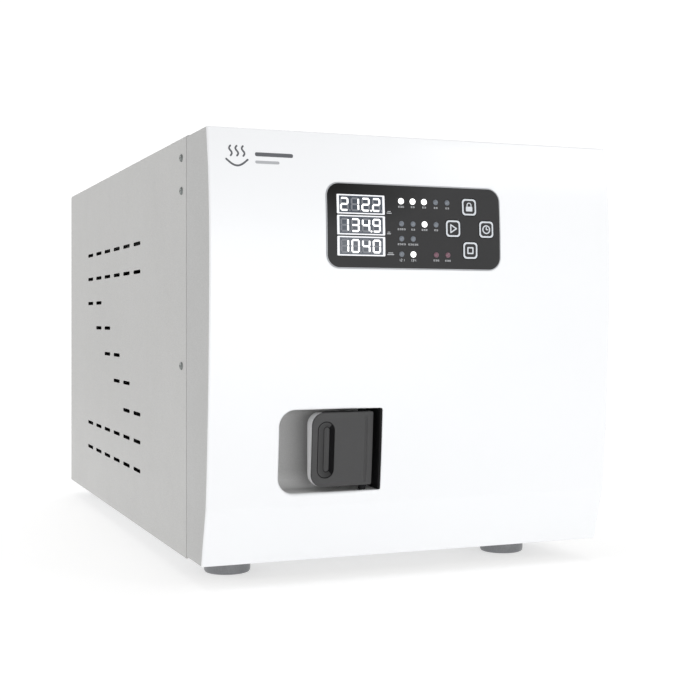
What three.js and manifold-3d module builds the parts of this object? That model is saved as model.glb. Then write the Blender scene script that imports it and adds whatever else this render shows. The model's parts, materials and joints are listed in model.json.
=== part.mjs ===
// Benchtop autoclave: a steel cabinet on four rubber feet with a full-face moulded door.
// Millimetres, +Z up, front towards -Y, right towards +X.
// The origin is on the worktop, under the middle of the object.
import * as THREE from "three";
import { mergeVertices } from "three/addons/utils/BufferGeometryUtils.js";
import Module from "manifold-3d";

const wasm = await Module();
wasm.setup();

// ---- driving dimensions ----
const HALF_WIDTH = 436 / 2; // over the painted cover
const FLOOR_Z = 20; // cabinet floor, the height of the feet
const TOP_Z = FLOOR_Z + 420;
const DATUM_Y = -300; // middle of the seam between door and cabinet
const SEAM_Y = DATUM_Y + 0.75; // front edge of the cover
const DOOR_BACK_Y = DATUM_Y - 0.75;
const REAR_Y = 375; // rear edge of the cover
const OUTLET_Y = 386; // rearmost point, the tip of the safety valve outlet
const SHEET = 2; // sheet metal thickness
const GAP = 0.3; // general clearance
const FIT = 0.4; // clearance inside the cover and around small parts
const HOLE_CLEARANCE = 0.6; // radial, around fittings in the bezel
const INSIDE_X = HALF_WIDTH - SHEET; // inside of the cover
const PANEL_X = INSIDE_X - FIT; // edge of the panels that sit inside the cover
const BASE_FRONT_Y = -294.9;
const REAR_PANEL_Y = 371;
const CRADLE_Z = FLOOR_Z + SHEET + GAP;
const PARTS_Z = FLOOR_Z + SHEET + FIT; // underside of parts standing on the base plate
const SIDES = [-1, 1]; // left, right

// Front outline of the door: [height above the cabinet floor, depth in front of DATUM_Y].
const FRONT = [
  [0, 56.3], [21, 61.7], [42, 68.2], [57, 72.5], [84, 75.6], [113, 78.1], [143, 80.2], [181, 82.5],
  [218, 84.4], [252, 85.2], [294, 85.7], [336, 85.3], [361, 83.2], [386, 80.2], [403, 77.3],
  [420, 74.3],
];

const CHAMBER_Z = 200; // height of the chamber axis
const CHAMBER_R = 123.5; // bore radius
const VESSEL_R = CHAMBER_R + 3.5;
const SLEEVE_R = VESSEL_R + GAP; // inside of the parts around the vessel
const FLANGE_R = 140;
const JACKET_R = 149;

const HINGE = { x: 213, y: -307, knuckleR: 4.5, boreR: 2.6, pinR: 2.2 };
const KNUCKLES_Z = [100, 340];

// Areas of the front face, seen from the front.
const PIVOT = { x: -58, y: -368 }; // handle pivot axis
const CRANK_R = 16;
const POCKET = rect(-147, -41, 89, 170);
const POCKET_R = 16;
const POCKET_FLOOR_Y = -335;
const LEVER = rect(-114, -49, 94.2, 166.9);
const LEVER_R = 12.5;
const PANEL = rect(-101.7, 86.9, 306.7, 389.6);
const PANEL_R = 13;

// Displays and keys: centres [x, z].
const DISPLAY = { width: 50.3, height: 19 };
const DISPLAYS = {
  display_upper: [-65.9, 368.9], display_middle: [-65.9, 348.6], display_lower: [-65.9, 328.2],
};
const KEY = { width: 16.6, height: 17.4, radius: 4 };
const KEYS = {
  key_p: [33.6, 347.9], key_t: [71.0, 347.9], key_s: [52.7, 326.3], key_lock: [52.1, 370.0],
};
// Indicator lights: x of each column, then rows of [z, columns].
const LED_COLUMNS = [-22.9, -10.4, 2.1, 14.8, 27.6];
const LED_ROWS = [
  [373.6, [0, 1, 2, 3, 4]], [351.3, [0, 1, 2, 3]], [336.5, [0, 1]], [321.2, [0, 1, 3, 4]],
];

// Side ventilation slots: y of each column centre, then rows of [z, columns].
const SLOT = { length: 34.5, height: 4 };
const SLOT_COLUMNS = [218, 159, 101, 42, -16, -74];
const SLOT_ROWS = [
  [344.5, [0, 1, 2, 3, 4, 5]], [312, [0, 1, 2, 3, 4, 5]], [279, [0, 1]], [246, [1, 2]],
  [213, [2, 3]], [181, [3, 4]], [148, [4, 5]], [116, [0, 1, 2, 3, 4, 5]],
  [83, [0, 1, 2, 3, 4, 5]],
];
const SCREWS_Z = [418.9, 385.9, 210.3];
const SCREW_Y = -281.5;

const FOOT_R = 24;
const FEET = { // centres [x, y]
  foot_front_left: [-169, -276], foot_front_right: [148, -276],
  foot_rear_left: [-169, 340], foot_rear_right: [169, 340],
};

const LID = { halfWidth: 125, frontY: 120, axisY: 268.75, edgeR: 1.25 };

// Fittings in the bezel and the rear panel
const DRAIN = { x: [118, 165], z: 46, radius: 12 };
const FILTER = { x: 168, z: 388, radius: 24 };
const LOCK = { x: -204, z: 170, radius: 4 };
const KEEPERS_Z = [130, 270];
const FITTING_FRONT_Y = -300.4;
const PLATE_FRONT_Y = -301.2; // plates fixed to the front of the bezel
const PLATE_BACK_Y = SEAM_Y - GAP;
const FAN = { x: -95, z: 270 };
const INLET = rect(108, 178, 44, 104);
const VALVE = { x: 60, z: 300 };

// ---- outlines ----
// A rectangle in x and z
function rect(x0, x1, z0, z1) {
  return { x0, x1, z0, z1 };
}
const rectAt = ([x, z], width, height) =>
  rect(x - width / 2, x + width / 2, z - height / 2, z + height / 2);
const grown = ({ x0, x1, z0, z1 }, by) => rect(x0 - by, x1 + by, z0 - by, z1 + by);

// Points of an elliptical arc, both ends included; angles in degrees
function arc(u, v, radiusU, radiusV, start, end, steps) {
  return Array.from({ length: steps + 1 }, (_, i) => {
    const angle = THREE.MathUtils.degToRad(start + ((end - start) * i) / steps);
    return [u + radiusU * Math.cos(angle), v + radiusV * Math.sin(angle)];
  });
}
// A rectangle with one radius, or [bottom left, bottom right, top right, top left]
function rounded({ x0, x1, z0, z1 }, radii, segments = 4) {
  const radius = Array.isArray(radii) ? radii : Array(4).fill(radii);
  const corner = (i, x, z, start) =>
    radius[i] === 0 ? [[x, z]] : arc(x, z, radius[i], radius[i], start, start + 90, segments);
  return [
    ...corner(0, x0 + radius[0], z0 + radius[0], 180),
    ...corner(1, x1 - radius[1], z0 + radius[1], 270),
    ...corner(2, x1 - radius[2], z1 - radius[2], 0),
    ...corner(3, x0 + radius[3], z1 - radius[3], 90),
  ];
}
// Ascending x limits of a span measured outwards from the middle
const sideSpan = (side, near, far) => (side < 0 ? [-far, -near] : [near, far]);

// ---- solids ----
// Welds a geometry, drops collapsed triangles and turns the faces outwards.
function solid(geometry) {
  geometry.deleteAttribute("normal");
  geometry.deleteAttribute("uv");
  const welded = mergeVertices(geometry, 1e-4);
  const positions = welded.attributes.position.array;
  const index = welded.index.array;
  const point = (i) => new THREE.Vector3().fromArray(positions, 3 * i);
  const triangles = [];
  let volume = 0;
  for (let i = 0; i < index.length; i += 3) {
    const [a, b, c] = index.slice(i, i + 3);
    if (a === b || b === c || a === c) continue;
    triangles.push([a, b, c]);
    volume += point(a).dot(point(b).cross(point(c)));
  }
  const outward = volume < 0 ? triangles.map(([a, b, c]) => [a, c, b]) : triangles;
  const mesh = new wasm.Mesh({
    numProp: 3,
    vertProperties: new Float32Array(positions),
    triVerts: new Uint32Array(outward.flat()),
  });
  return new wasm.Manifold(mesh);
}
const join = (...shapes) => shapes.reduce((a, b) => a.add(b));
const cut = (body, ...tools) => tools.reduce((a, b) => a.subtract(b), body);

function box(x0, x1, y0, y1, z0, z1) {
  const geometry = new THREE.BoxGeometry(x1 - x0, y1 - y0, z1 - z0);
  geometry.translate((x0 + x1) / 2, (y0 + y1) / 2, (z0 + z1) / 2);
  return solid(geometry);
}
// Boxes joined, one row of [x0, x1, y0, y1, z0, z1] each
const boxes = (...rows) => join(...rows.map((row) => box(...row)));

// A round bar along an axis, at the two other coordinates p, q in x, y, z order
function bar(axis, radius, from, to, p, q, segments = 20, endRadius = radius) {
  const geometry = new THREE.CylinderGeometry(endRadius, radius, to - from, segments);
  geometry.translate(0, (from + to) / 2, 0);
  if (axis === "x") geometry.rotateZ(-Math.PI / 2).translate(0, p, q);
  if (axis === "y") geometry.translate(p, 0, q);
  if (axis === "z") geometry.rotateX(Math.PI / 2).translate(p, q, 0);
  return solid(geometry);
}
// An outline pushed along an axis; its points are the two other coordinates in x, y, z order.
function prism(axis, from, to, outline) {
  const shape = new THREE.Shape(outline.map(([u, v]) => new THREE.Vector2(u, v)));
  const geometry = new THREE.ExtrudeGeometry(shape, { depth: to - from, bevelEnabled: false });
  const matrix = new THREE.Matrix4();
  if (axis === "x") matrix.set(0, 0, 1, from, 1, 0, 0, 0, 0, 1, 0, 0, 0, 0, 0, 1);
  if (axis === "y") matrix.set(1, 0, 0, 0, 0, 0, -1, to, 0, 1, 0, 0, 0, 0, 0, 1);
  if (axis === "z") matrix.makeTranslation(0, 0, from);
  return solid(geometry.applyMatrix4(matrix));
}
// A body turned about the chamber axis from a profile of [radius, y]
function turned(profile) {
  const closed = profile[0][0] > 0 ? [...profile, profile[0]] : profile;
  const points = closed.map(([radius, y]) => new THREE.Vector2(radius, y));
  return solid(new THREE.LatheGeometry(points, 36).translate(0, 0, CHAMBER_Z));
}

// ---- solids that follow the front face of the door ----
function depthAt(z) {
  const height = z - FLOOR_Z;
  const next = FRONT.findIndex(([h]) => height <= h);
  const [h0, depth0] = FRONT[next - 1];
  const [h1, depth1] = FRONT[next];
  return depth0 + ((depth1 - depth0) * (height - h0)) / (h1 - h0);
}
// Points [y, z] up the front face, set back by an inset
function facePoints(inset, z0, z1) {
  const between = FRONT.map(([h]) => h + FLOOR_Z).filter((z) => z > z0 + 0.5 && z < z1 - 0.5);
  return [z0, ...between, z1].map((z) => [DATUM_Y - depthAt(z) + inset, z]);
}
// Everything between the inset face and the plane y = back
const behindFace = (inset, { x0, x1, z0, z1 }, back) =>
  prism("x", x0, x1, [[back, z1], [back, z0], ...facePoints(inset, z0, z1)]);
// A layer between two insets
const layer = (outer, inner, { x0, x1, z0, z1 }) =>
  prism("x", x0, x1, [...facePoints(outer, z0, z1), ...facePoints(inner, z0, z1).reverse()]);
// An outline pushed through the front of the door
const throughFront = (outline) => prism("y", -400, -340, outline);

// ---- materials: [colour, roughness, metalness] ----
const FINISHES = {
  cover_grey: [0xc4c4c3, 0.55, 0.2],
  base_steel: [0x9a9c9d, 0.5, 0.7],
  door_white: [0xf3f4f6, 0.35, 0],
  bezel_white: [0xe9eaeb, 0.5, 0],
  foot_rubber: [0x4c4d4e, 0.85, 0],
  charcoal: [0x474849, 0.6, 0],
  recess_grey: [0x8d8d8c, 0.6, 0],
  panel_dark: [0x454547, 0.45, 0],
  key_light: [0x5a5c60, 0.5, 0],
  display_blue: [0x46525f, 0.3, 0],
  stainless: [0xc8cacc, 0.3, 0.9],
  screw_steel: [0xb5b6b8, 0.35, 0.9],
  silicone: [0xd9d6cf, 0.7, 0],
  foil: [0xbfc1c4, 0.4, 0.8],
  brass: [0xb9964f, 0.35, 0.9],
  aluminium: [0xb9bbbd, 0.45, 0.8],
  pcb_green: [0x2f5a3c, 0.6, 0],
  black_plastic: [0x1d1e20, 0.55, 0],
  tank_white: [0xe4e6e4, 0.6, 0],
  cast_grey: [0x6d7073, 0.6, 0.5],
};

const root = new THREE.Group();
root.name = "benchtop_autoclave";

// Adds a solid to the group as a flat-shaded mesh.
function piece(name, finish, shape) {
  const { vertProperties, triVerts } = shape.getMesh();
  const indexed = new THREE.BufferGeometry();
  indexed.setAttribute("position", new THREE.BufferAttribute(vertProperties, 3));
  indexed.setIndex(new THREE.BufferAttribute(triVerts, 1));
  const flat = indexed.toNonIndexed();
  flat.computeVertexNormals();
  const [color, roughness, metalness] = FINISHES[finish];
  const material = new THREE.MeshStandardMaterial({ color, roughness, metalness, name: finish });
  const mesh = new THREE.Mesh(flat, material);
  mesh.name = name;
  root.add(mesh);
}

// ---- cabinet ----
// Base plate with an upturned flange along each side
piece("base_plate", "base_steel", join(
  box(-PANEL_X, PANEL_X, BASE_FRONT_Y, REAR_PANEL_Y - FIT, FLOOR_Z, FLOOR_Z + SHEET),
  ...SIDES.map((side) => box(...sideSpan(side, PANEL_X - SHEET, PANEL_X),
    BASE_FRONT_Y, REAR_PANEL_Y - FIT, FLOOR_Z, FLOOR_Z + 20)),
));

// Cover open at the front, rear and bottom, with side slots, screw holes and a lid opening
function outerCover() {
  const outline = rounded(rect(-HALF_WIDTH, HALF_WIDTH, FLOOR_Z, TOP_Z), [0, 0, 3, 3], 3);
  const inside = box(-INSIDE_X, INSIDE_X, SEAM_Y - 5, REAR_Y + 5, FLOOR_Z - 5, TOP_Z - SHEET);
  const holes = [];
  for (const side of SIDES) {
    const wall = sideSpan(side, INSIDE_X - 1, HALF_WIDTH + 1);
    for (const [z, columns] of SLOT_ROWS)
      for (const column of columns) {
        const slot = rectAt([SLOT_COLUMNS[column], z], SLOT.length, SLOT.height);
        holes.push(box(...wall, ...Object.values(slot)));
      }
    for (const z of SCREWS_Z) holes.push(bar("x", 2.6, ...wall, SCREW_Y, z, 10));
  }
  const gap = 0.8;
  const openingX = LID.halfWidth + gap;
  holes.push(box(-openingX, openingX, LID.frontY - gap, LID.axisY + LID.edgeR + gap,
    TOP_Z - 6, TOP_Z + 2));
  return cut(prism("y", SEAM_Y, REAR_Y, outline), inside, ...holes);
}
piece("outer_cover", "cover_grey", outerCover());

// A sheet that closes one end of the cover
const endPanel = (y0, y1) =>
  box(-PANEL_X, PANEL_X, y0, y1, FLOOR_Z + GAP, TOP_Z - SHEET - FIT);

// Rear panel with upright fan slots in a circle, the inlet opening and the valve hole
function rearPanel() {
  const [y0, y1] = [360, 380];
  const fanR = 52;
  const pitch = 9;
  const holes = [];
  for (let i = -5; i <= 5; i++) {
    const x = FAN.x + pitch * i;
    const reach = Math.sqrt(fanR ** 2 - (pitch * i) ** 2);
    holes.push(box(x - 2, x + 2, y0, y1, FAN.z - reach, FAN.z + reach));
  }
  const inlet = grown(INLET, -4);
  holes.push(box(inlet.x0, inlet.x1, y0, y1, inlet.z0, inlet.z1));
  holes.push(bar("y", 11, y0, y1, VALVE.x, VALVE.z));
  return cut(endPanel(REAR_PANEL_Y, REAR_PANEL_Y + SHEET), ...holes);
}
piece("rear_panel", "base_steel", rearPanel());

const bezelHole = (radius, x, z, segments) => bar("y", radius, -310, -280, x, z, segments);
piece("front_bezel", "bezel_white", cut(
  endPanel(SEAM_Y, SEAM_Y + 4),
  bezelHole(FLANGE_R + 1, 0, CHAMBER_Z, 44),
  bezelHole(FILTER.radius + HOLE_CLEARANCE, FILTER.x, FILTER.z, 24),
  ...DRAIN.x.map((x) => bezelHole(DRAIN.radius + HOLE_CLEARANCE, x, DRAIN.z, 16)),
  bezelHole(LOCK.radius + HOLE_CLEARANCE, LOCK.x, LOCK.z, 12),
));

// Feet with a chamfered bottom edge
for (const [name, [x, y]] of Object.entries(FEET))
  piece(name, "foot_rubber", join(
    bar("z", FOOT_R - 1.5, 0, 2, x, y, 24, FOOT_R),
    bar("z", FOOT_R, 2, FLOOR_Z - GAP, x, y, 24),
  ));

// A strip inside the cover with its screws; the heads taper outwards.
function screwRail(side) {
  const shank = sideSpan(side, INSIDE_X - 1, HALF_WIDTH + 1);
  const head = sideSpan(side, HALF_WIDTH + GAP, HALF_WIDTH + 2);
  const [startR, endR] = side < 0 ? [2.6, 3.6] : [3.6, 2.6];
  return join(
    box(...sideSpan(side, PANEL_X - SHEET, PANEL_X), -291, -271, 198, 428),
    ...SCREWS_Z.flatMap((z) => [
      bar("x", 2.1, ...shank, SCREW_Y, z, 10),
      bar("x", startR, ...head, SCREW_Y, z, 14, endR),
    ]),
  );
}
piece("screw_rail_left", "screw_steel", screwRail(-1));
piece("screw_rail_right", "screw_steel", screwRail(1));

// ---- pressure vessel ----
const VESSEL_Y0 = -299; // front of the vessel
const VESSEL_Y1 = VESSEL_Y0 + 450; // rear end of the straight bore
piece("chamber_vessel", "stainless", turned([
  [0, VESSEL_Y1 + 26.5], [CHAMBER_R * 0.42, VESSEL_Y1 + 24.4], [CHAMBER_R * 0.83, VESSEL_Y1 + 17],
  [VESSEL_R, VESSEL_Y1 + 2], [VESSEL_R, VESSEL_Y0], [CHAMBER_R, VESSEL_Y0],
  [CHAMBER_R, VESSEL_Y1], [CHAMBER_R * 0.8, VESSEL_Y1 + 14], [CHAMBER_R * 0.4, VESSEL_Y1 + 21],
  [0, VESSEL_Y1 + 23],
]));
piece("chamber_flange", "stainless", turned([
  [SLEEVE_R, VESSEL_Y0], [FLANGE_R, VESSEL_Y0], [FLANGE_R, VESSEL_Y0 + 8],
  [FLANGE_R - 5, VESSEL_Y0 + 14], [SLEEVE_R, VESSEL_Y0 + 14],
]));

// A plain tube round the chamber axis
const tube = (inner, outer, y0, y1) =>
  turned([[inner, y0], [outer, y0], [outer, y1], [inner, y1]]);
const BAND_R = SLEEVE_R + 4;
// The band is split along the bottom.
piece("heater_band", "foil",
  cut(tube(SLEEVE_R, BAND_R, -150, 60), box(-6, 6, -160, 70, CHAMBER_Z - 140, CHAMBER_Z)));
piece("insulation_jacket", "silicone", tube(BAND_R + GAP, JACKET_R, -282, 168));

// Two saddle plates joined by a strip on each side
function chamberCradle() {
  const saddle = (y) => cut(
    box(-150, 150, y, y + 4, CRADLE_Z, 116),
    bar("y", JACKET_R + 0.8, y - 2, y + 8, 0, CHAMBER_Z, 36),
  );
  const strip = (side) => box(...sideSpan(side, 112, 128), -206, 98, CRADLE_Z, FLOOR_Z + 6);
  return join(saddle(-206), saddle(94), ...SIDES.map(strip));
}
piece("chamber_cradle", "base_steel", chamberCradle());

// ---- tray rack and trays ----
const TRAYS = { tray_lower: 140, tray_middle: 186, tray_upper: 232 }; // top of each runner

// A square frame at each end, joined by runners
function trayRack() {
  const frame = (y) => boxes(
    [-88, -85, y, y + 3, 128, 278],
    [85, 88, y, y + 3, 128, 278],
    [-88, 88, y, y + 3, 128, 131],
    [-88, 88, y, y + 3, 275, 278],
  );
  const runners = Object.values(TRAYS).flatMap((z) =>
    SIDES.map((side) => box(...sideSpan(side, 76, 88), -272, 107, z - 2, z)));
  return join(frame(-272), frame(104), ...runners);
}
piece("tray_rack", "stainless", trayRack());

// An open tray with two columns of four slots in its floor
function tray(z) {
  const slots = SIDES.flatMap((side) => [-230, -145, -60, 25].map((y) =>
    box(side * 36 - 22, side * 36 + 22, y - 3, y + 3, z - 1, z + 3)));
  const inside = box(-80.6, 80.6, -264.6, 98.6, z + 1.4, z + 20);
  return cut(box(-82, 82, -266, 100, z, z + 17), inside, ...slots);
}
for (const [name, z] of Object.entries(TRAYS)) piece(name, "stainless", tray(z + GAP));

// ---- steam, vacuum and water parts around the vessel ----
function steamGenerator() {
  const upright = (radius, z0, z1, segments) => bar("z", radius, z0, z1, 130, 255, segments);
  return join(upright(44, PARTS_Z, 150, 28), upright(30, 150, 160, 20), upright(6, 160, 178, 10),
    bar("x", 5, 60, 100, 255, 60, 10));
}
piece("steam_generator", "stainless", steamGenerator());

// Foot plate, pedestal, round body, top block and two upright stubs
piece("vacuum_pump", "cast_grey", join(
  box(-192, -84, 226, 322, PARTS_Z, FLOOR_Z + 12),
  box(-158, -118, 230, 318, FLOOR_Z + 10, FLOOR_Z + 24),
  bar("y", 34, 215, 330, -138, 70, 24),
  box(-160, -116, 250, 305, 95, 128),
  ...[262, 292].map((y) => bar("z", 5, 128, 146, -138, y, 10)),
));
piece("water_pump", "black_plastic", join(
  bar("y", 20, 236, 300, -40, 48, 18),
  box(-60, -20, 240, 262, PARTS_Z, 40),
  bar("x", 4, -24, -4, 250, 60, 10),
));

// A rectangular frame with seven upright fins and a pipe across
function condenser() {
  const pitch = 140 / 8;
  const frame = boxes(
    [-165, -25, 290, 336, 200, 203],
    [-165, -25, 290, 336, 337, 340],
    [-165, -162, 290, 336, 200, 340],
    [-28, -25, 290, 336, 200, 340],
  );
  const fins = [1, 2, 3, 4, 5, 6, 7].map((i) =>
    box(-166 + i * pitch, -164 + i * pitch, 294, 332, 201, 339));
  return join(frame, ...fins, bar("x", 5, -172, -18, 313, 270, 8));
}
piece("condenser", "aluminium", condenser());

// Square frame with a hub on two crossed struts
function fanShroud() {
  const { x, z } = FAN;
  const outline = rounded(rectAt([x, z], 120, 120), 6, 2);
  return join(
    cut(prism("y", 340, 366, outline), bar("y", 56, 330, 370, x, z, 28)),
    bar("y", 18, 340, 350, x, z, 16),
    box(x - 58, x + 58, 340, 344, z - 2, z + 2),
    box(x - 2, x + 2, 340, 344, z - 58, z + 58),
  );
}
piece("fan_shroud", "black_plastic", fanShroud());

function fanRotor() {
  const blades = 7;
  const parts = [bar("y", 19, 351, 365, FAN.x, FAN.z)];
  for (let i = 0; i < blades; i++) {
    const blade = new THREE.BoxGeometry(35, 1.8, 22);
    blade.rotateX(0.5).translate(33.5, 0, 0); // pitch in radians, then out from the axis
    blade.rotateY((2 * Math.PI * i) / blades).translate(FAN.x, 358, FAN.z);
    parts.push(solid(blade));
  }
  return join(...parts);
}
piece("fan_rotor", "black_plastic", fanRotor());

// Open-topped tank with a rim
function tank(side) {
  const [x0, x1] = sideSpan(side, 6.5, 205);
  return cut(
    boxes([x0, x1, -40, 340, 352, 428], [x0 - 3, x1 + 3, -43, 343, 426, 430]),
    box(x0 + 2.5, x1 - 2.5, -37.5, 337.5, 354.5, 440),
  );
}
piece("clean_water_tank", "tank_white", tank(-1));
piece("waste_water_tank", "tank_white", tank(1));

// A block with three upright cylinders and two pipe stubs
piece("valve_block", "brass", join(
  box(-10, 88, 196, 230, 170, 192),
  ...[8, 39, 70].map((x) => bar("z", 12, 192, 232, x, 213, 16)),
  bar("x", 5, -24, -10, 213, 181, 10),
  bar("z", 4, 158, 170, 60, 213, 10),
));
// Stem, hexagon and a collar behind the rear panel
piece("safety_valve", "brass", join(
  bar("y", 8, 300, OUTLET_Y, VALVE.x, VALVE.z, 18),
  bar("y", 14, 330, 362, VALVE.x, VALVE.z, 6),
  bar("y", 13, 373.6, 378, VALVE.x, VALVE.z, 18),
));
// Upright board by the right side with blocks and two cylinders on its inner face
piece("main_pcb", "pcb_green", join(
  boxes(
    [207, 209, -262, -50, 74, 330],
    [185, 207, -240, -190, 90, 150],
    [192, 207, -170, -110, 100, 190],
    [196, 207, -240, -140, 240, 300],
    [198, 207, -110, -70, 230, 310],
  ),
  ...[120, 145].map((z) => bar("x", 9, 180, 207, -90, z, 14)),
));

// Flange and body with a socket recess and a switch opening
function powerInlet() {
  const { x0, x1, z0, z1 } = INLET;
  const body = grown(INLET, -4.4);
  const socket = [[116, 56], [138, 56], [143, 61], [143, 85], [138, 90], [116, 90]];
  return cut(
    boxes([x0, x1, 373.3, 376.5, z0, z1], [body.x0, body.x1, 338, 374, body.z0, body.z1]),
    prism("y", 358, 380, socket),
    box(151, 167, 352, 380, 60, 88),
  );
}
piece("power_inlet", "black_plastic", powerInlet());
// Side outline of the rocker: [y, z]
const ROCKER = [
  [360, 63], [374, 63], [378.4, 63.2], [376.6, 74], [375.6, 85], [360, 85], [356, 74],
];
piece("power_switch", "black_plastic", prism("x", 151.6, 166.4, ROCKER));

piece("air_filter", "tank_white", join(
  bar("y", FILTER.radius, FITTING_FRONT_Y, -280, FILTER.x, FILTER.z, 24),
  bar("y", 15, -280, -262, FILTER.x, FILTER.z, 16),
  bar("y", 5, -262, -246, FILTER.x, FILTER.z, 10),
));
// Two blind sockets joined by a pipe
piece("drain_couplings", "brass", join(
  ...DRAIN.x.map((x) => cut(
    bar("y", DRAIN.radius, FITTING_FRONT_Y, -270, x, DRAIN.z, 16),
    bar("y", 6, -310, -284, x, DRAIN.z, 10),
  )),
  bar("x", 5, ...DRAIN.x, -276, DRAIN.z, 10),
));

// ---- door hinge ----
const onHinge = (radius, z0, z1, segments) =>
  bar("z", radius, z0, z1, HINGE.x, HINGE.y, segments);
const hingeBore = onHinge(HINGE.boreR, 60, 380, 14);

function cabinetHingeLeaf() {
  const knuckles = KNUCKLES_Z.flatMap((z) => [
    box(206.2, 215.5, -303.6, PLATE_BACK_Y, z - 12, z + 12),
    onHinge(HINGE.knuckleR, z - 12, z + 12, 16),
  ]);
  return cut(join(box(193, 206.5, PLATE_FRONT_Y, PLATE_BACK_Y, 74, 366), ...knuckles), hingeBore);
}
piece("cabinet_hinge_leaf", "screw_steel", cabinetHingeLeaf());
piece("hinge_pin", "screw_steel", onHinge(HINGE.pinR, 68, 372, 14));

// Its knuckles sit below and above each cabinet knuckle.
function doorHingeLeaf() {
  const knuckles = KNUCKLES_Z.flatMap((z) => [[z - 24, z - 12.5], [z + 12.5, z + 24]])
    .flatMap(([z0, z1]) => [
      box(190, HINGE.x - 2, -311.5, -304.4, z0, z1),
      onHinge(HINGE.knuckleR, z0, z1, 16),
    ]);
  return cut(join(box(186, 198, -311.5, -304.4, 76, 364), ...knuckles), hingeBore);
}
piece("door_hinge_leaf", "screw_steel", doorHingeLeaf());

// ---- latch keeper and lock ----
// A plate with two L-shaped hooks reaching forward
piece("latch_keeper", "screw_steel", boxes(
  [-187, -168, PLATE_FRONT_Y, PLATE_BACK_Y, 112, 288],
  ...KEEPERS_Z.flatMap((z) => [
    [-180, -174, -358, -300, z - 8, z + 8],
    [-188, -174, -358, -353, z - 8, z + 8],
  ]),
));
piece("lock_solenoid", "black_plastic", cut(
  box(LOCK.x - 11, LOCK.x + 11, BASE_FRONT_Y, -250, LOCK.z - 13, LOCK.z + 13),
  bar("y", LOCK.radius + FIT, -300, -262, LOCK.x, LOCK.z, 12),
));
piece("lock_plunger", "screw_steel", bar("y", LOCK.radius, -308, -268, LOCK.x, LOCK.z, 12));

// ---- door shell and control panel ----
const FRONT_WALL = 3;
const pocketOutline = rounded(POCKET, [POCKET_R, 2, 2, POCKET_R], 5);

// Hollow shell with hinge clearances, handle pocket, panel recess and panel window
function doorCover() {
  const outside = rect(-HALF_WIDTH, HALF_WIDTH, FLOOR_Z + 1.5, TOP_Z - 1.5);
  const wall = 2.5;
  const edge = 2.8; // top and bottom walls
  const inside = rect(outside.x0 + wall, outside.x1 - wall, outside.z0 + edge, outside.z1 - edge);
  return cut(
    behindFace(0, outside, DOOR_BACK_Y),
    behindFace(FRONT_WALL, inside, DOOR_BACK_Y + 5),
    box(212, 220, -303.2, -290, 0, 460),
    ...KNUCKLES_Z.map((z) => box(204, 220, -312.5, -290, z - 28, z + 28)),
    throughFront(pocketOutline),
    layer(-3, 1.3, PANEL).intersect(throughFront(rounded(grown(PANEL, GAP), PANEL_R))),
    throughFront(rounded(grown(PANEL, -5), 8, 2)),
  );
}
piece("door_cover", "door_white", doorCover());

const keyPrism = (centre, gap) =>
  throughFront(rounded(grown(rectAt(centre, KEY.width, KEY.height), gap), KEY.radius, 2));

function controlOverlay() {
  const outline = throughFront(rounded(grown(PANEL, -0.1), PANEL_R));
  const windows = Object.values(DISPLAYS).map((centre) => {
    const { x0, x1, z0, z1 } = grown(rectAt(centre, DISPLAY.width, DISPLAY.height), FIT);
    return box(x0, x1, -400, -340, z0, z1);
  });
  const keyHoles = Object.values(KEYS).map((centre) => keyPrism(centre, FIT));
  return cut(layer(-0.2, 1.0, grown(PANEL, 1)).intersect(outline), ...windows, ...keyHoles);
}
piece("control_overlay", "panel_dark", controlOverlay());

for (const [name, centre] of Object.entries(DISPLAYS))
  piece(name, "display_blue", layer(0.1, 8, rectAt(centre, DISPLAY.width, DISPLAY.height)));
for (const [name, centre] of Object.entries(KEYS))
  piece(name, "key_light", layer(-0.3, 3.2, rectAt(centre, 40, 40)).intersect(keyPrism(centre, 0)));

// Board with a post up to the overlay at each indicator light
const ledPosts = LED_ROWS.flatMap(([z, columns]) => columns.map((column) =>
  bar("y", 2.5, DATUM_Y - depthAt(z) + 1.6, -374, LED_COLUMNS[column], z, 6)));
piece("control_pcb", "pcb_green", join(box(-97, 82, -375, -373.4, 312, 384), ...ledPosts));

// ---- handle, crank and latch ----
const onPivot = (radius, z0, z1, segments = 12, offsetY = 0) =>
  bar("z", radius, z0, z1, PIVOT.x, PIVOT.y + offsetY, segments);

// Tray-shaped liner of the handle pocket
function handleRecess() {
  const outline = rounded(grown(POCKET, 2), [POCKET_R + 2, 4, 4, POCKET_R + 2], 5);
  const limit = behindFace(FRONT_WALL + GAP, grown(POCKET, 5), -320);
  return cut(
    prism("y", -395, POCKET_FLOOR_Y, outline).intersect(limit),
    prism("y", -400, POCKET_FLOOR_Y - 2, pocketOutline),
    onPivot(2.8, 70, 190),
  );
}
piece("handle_recess", "recess_grey", handleRecess());

// Flat lever, rounded at the pivot, with a rounded groove in its front
function handleLever() {
  const plan = prism("z", 90, 175, [
    [LEVER.x0, -366], [LEVER.x0, -382],
    ...arc(PIVOT.x, PIVOT.y, 9, 14, -90, 0, 5),
    ...arc(PIVOT.x, PIVOT.y, 9, 9, 25, 150, 5),
    [-70, -366],
  ]);
  const outline = throughFront(rounded(LEVER, [LEVER_R, 0, 0, LEVER_R], 5));
  const limit = behindFace(0.8, rect(-130, -40, 90, 172), -350);
  const groove = prism("y", -400, -368.6, rounded(rect(-107.9, -90.7, 102.7, 158), 8.5));
  return cut(
    plan.intersect(outline).intersect(limit),
    groove.intersect(layer(-2, 4, rect(-120, -80, 95, 165))),
    onPivot(2.7, 80, 190),
  );
}
piece("handle_lever", "charcoal", handleLever());

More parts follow.
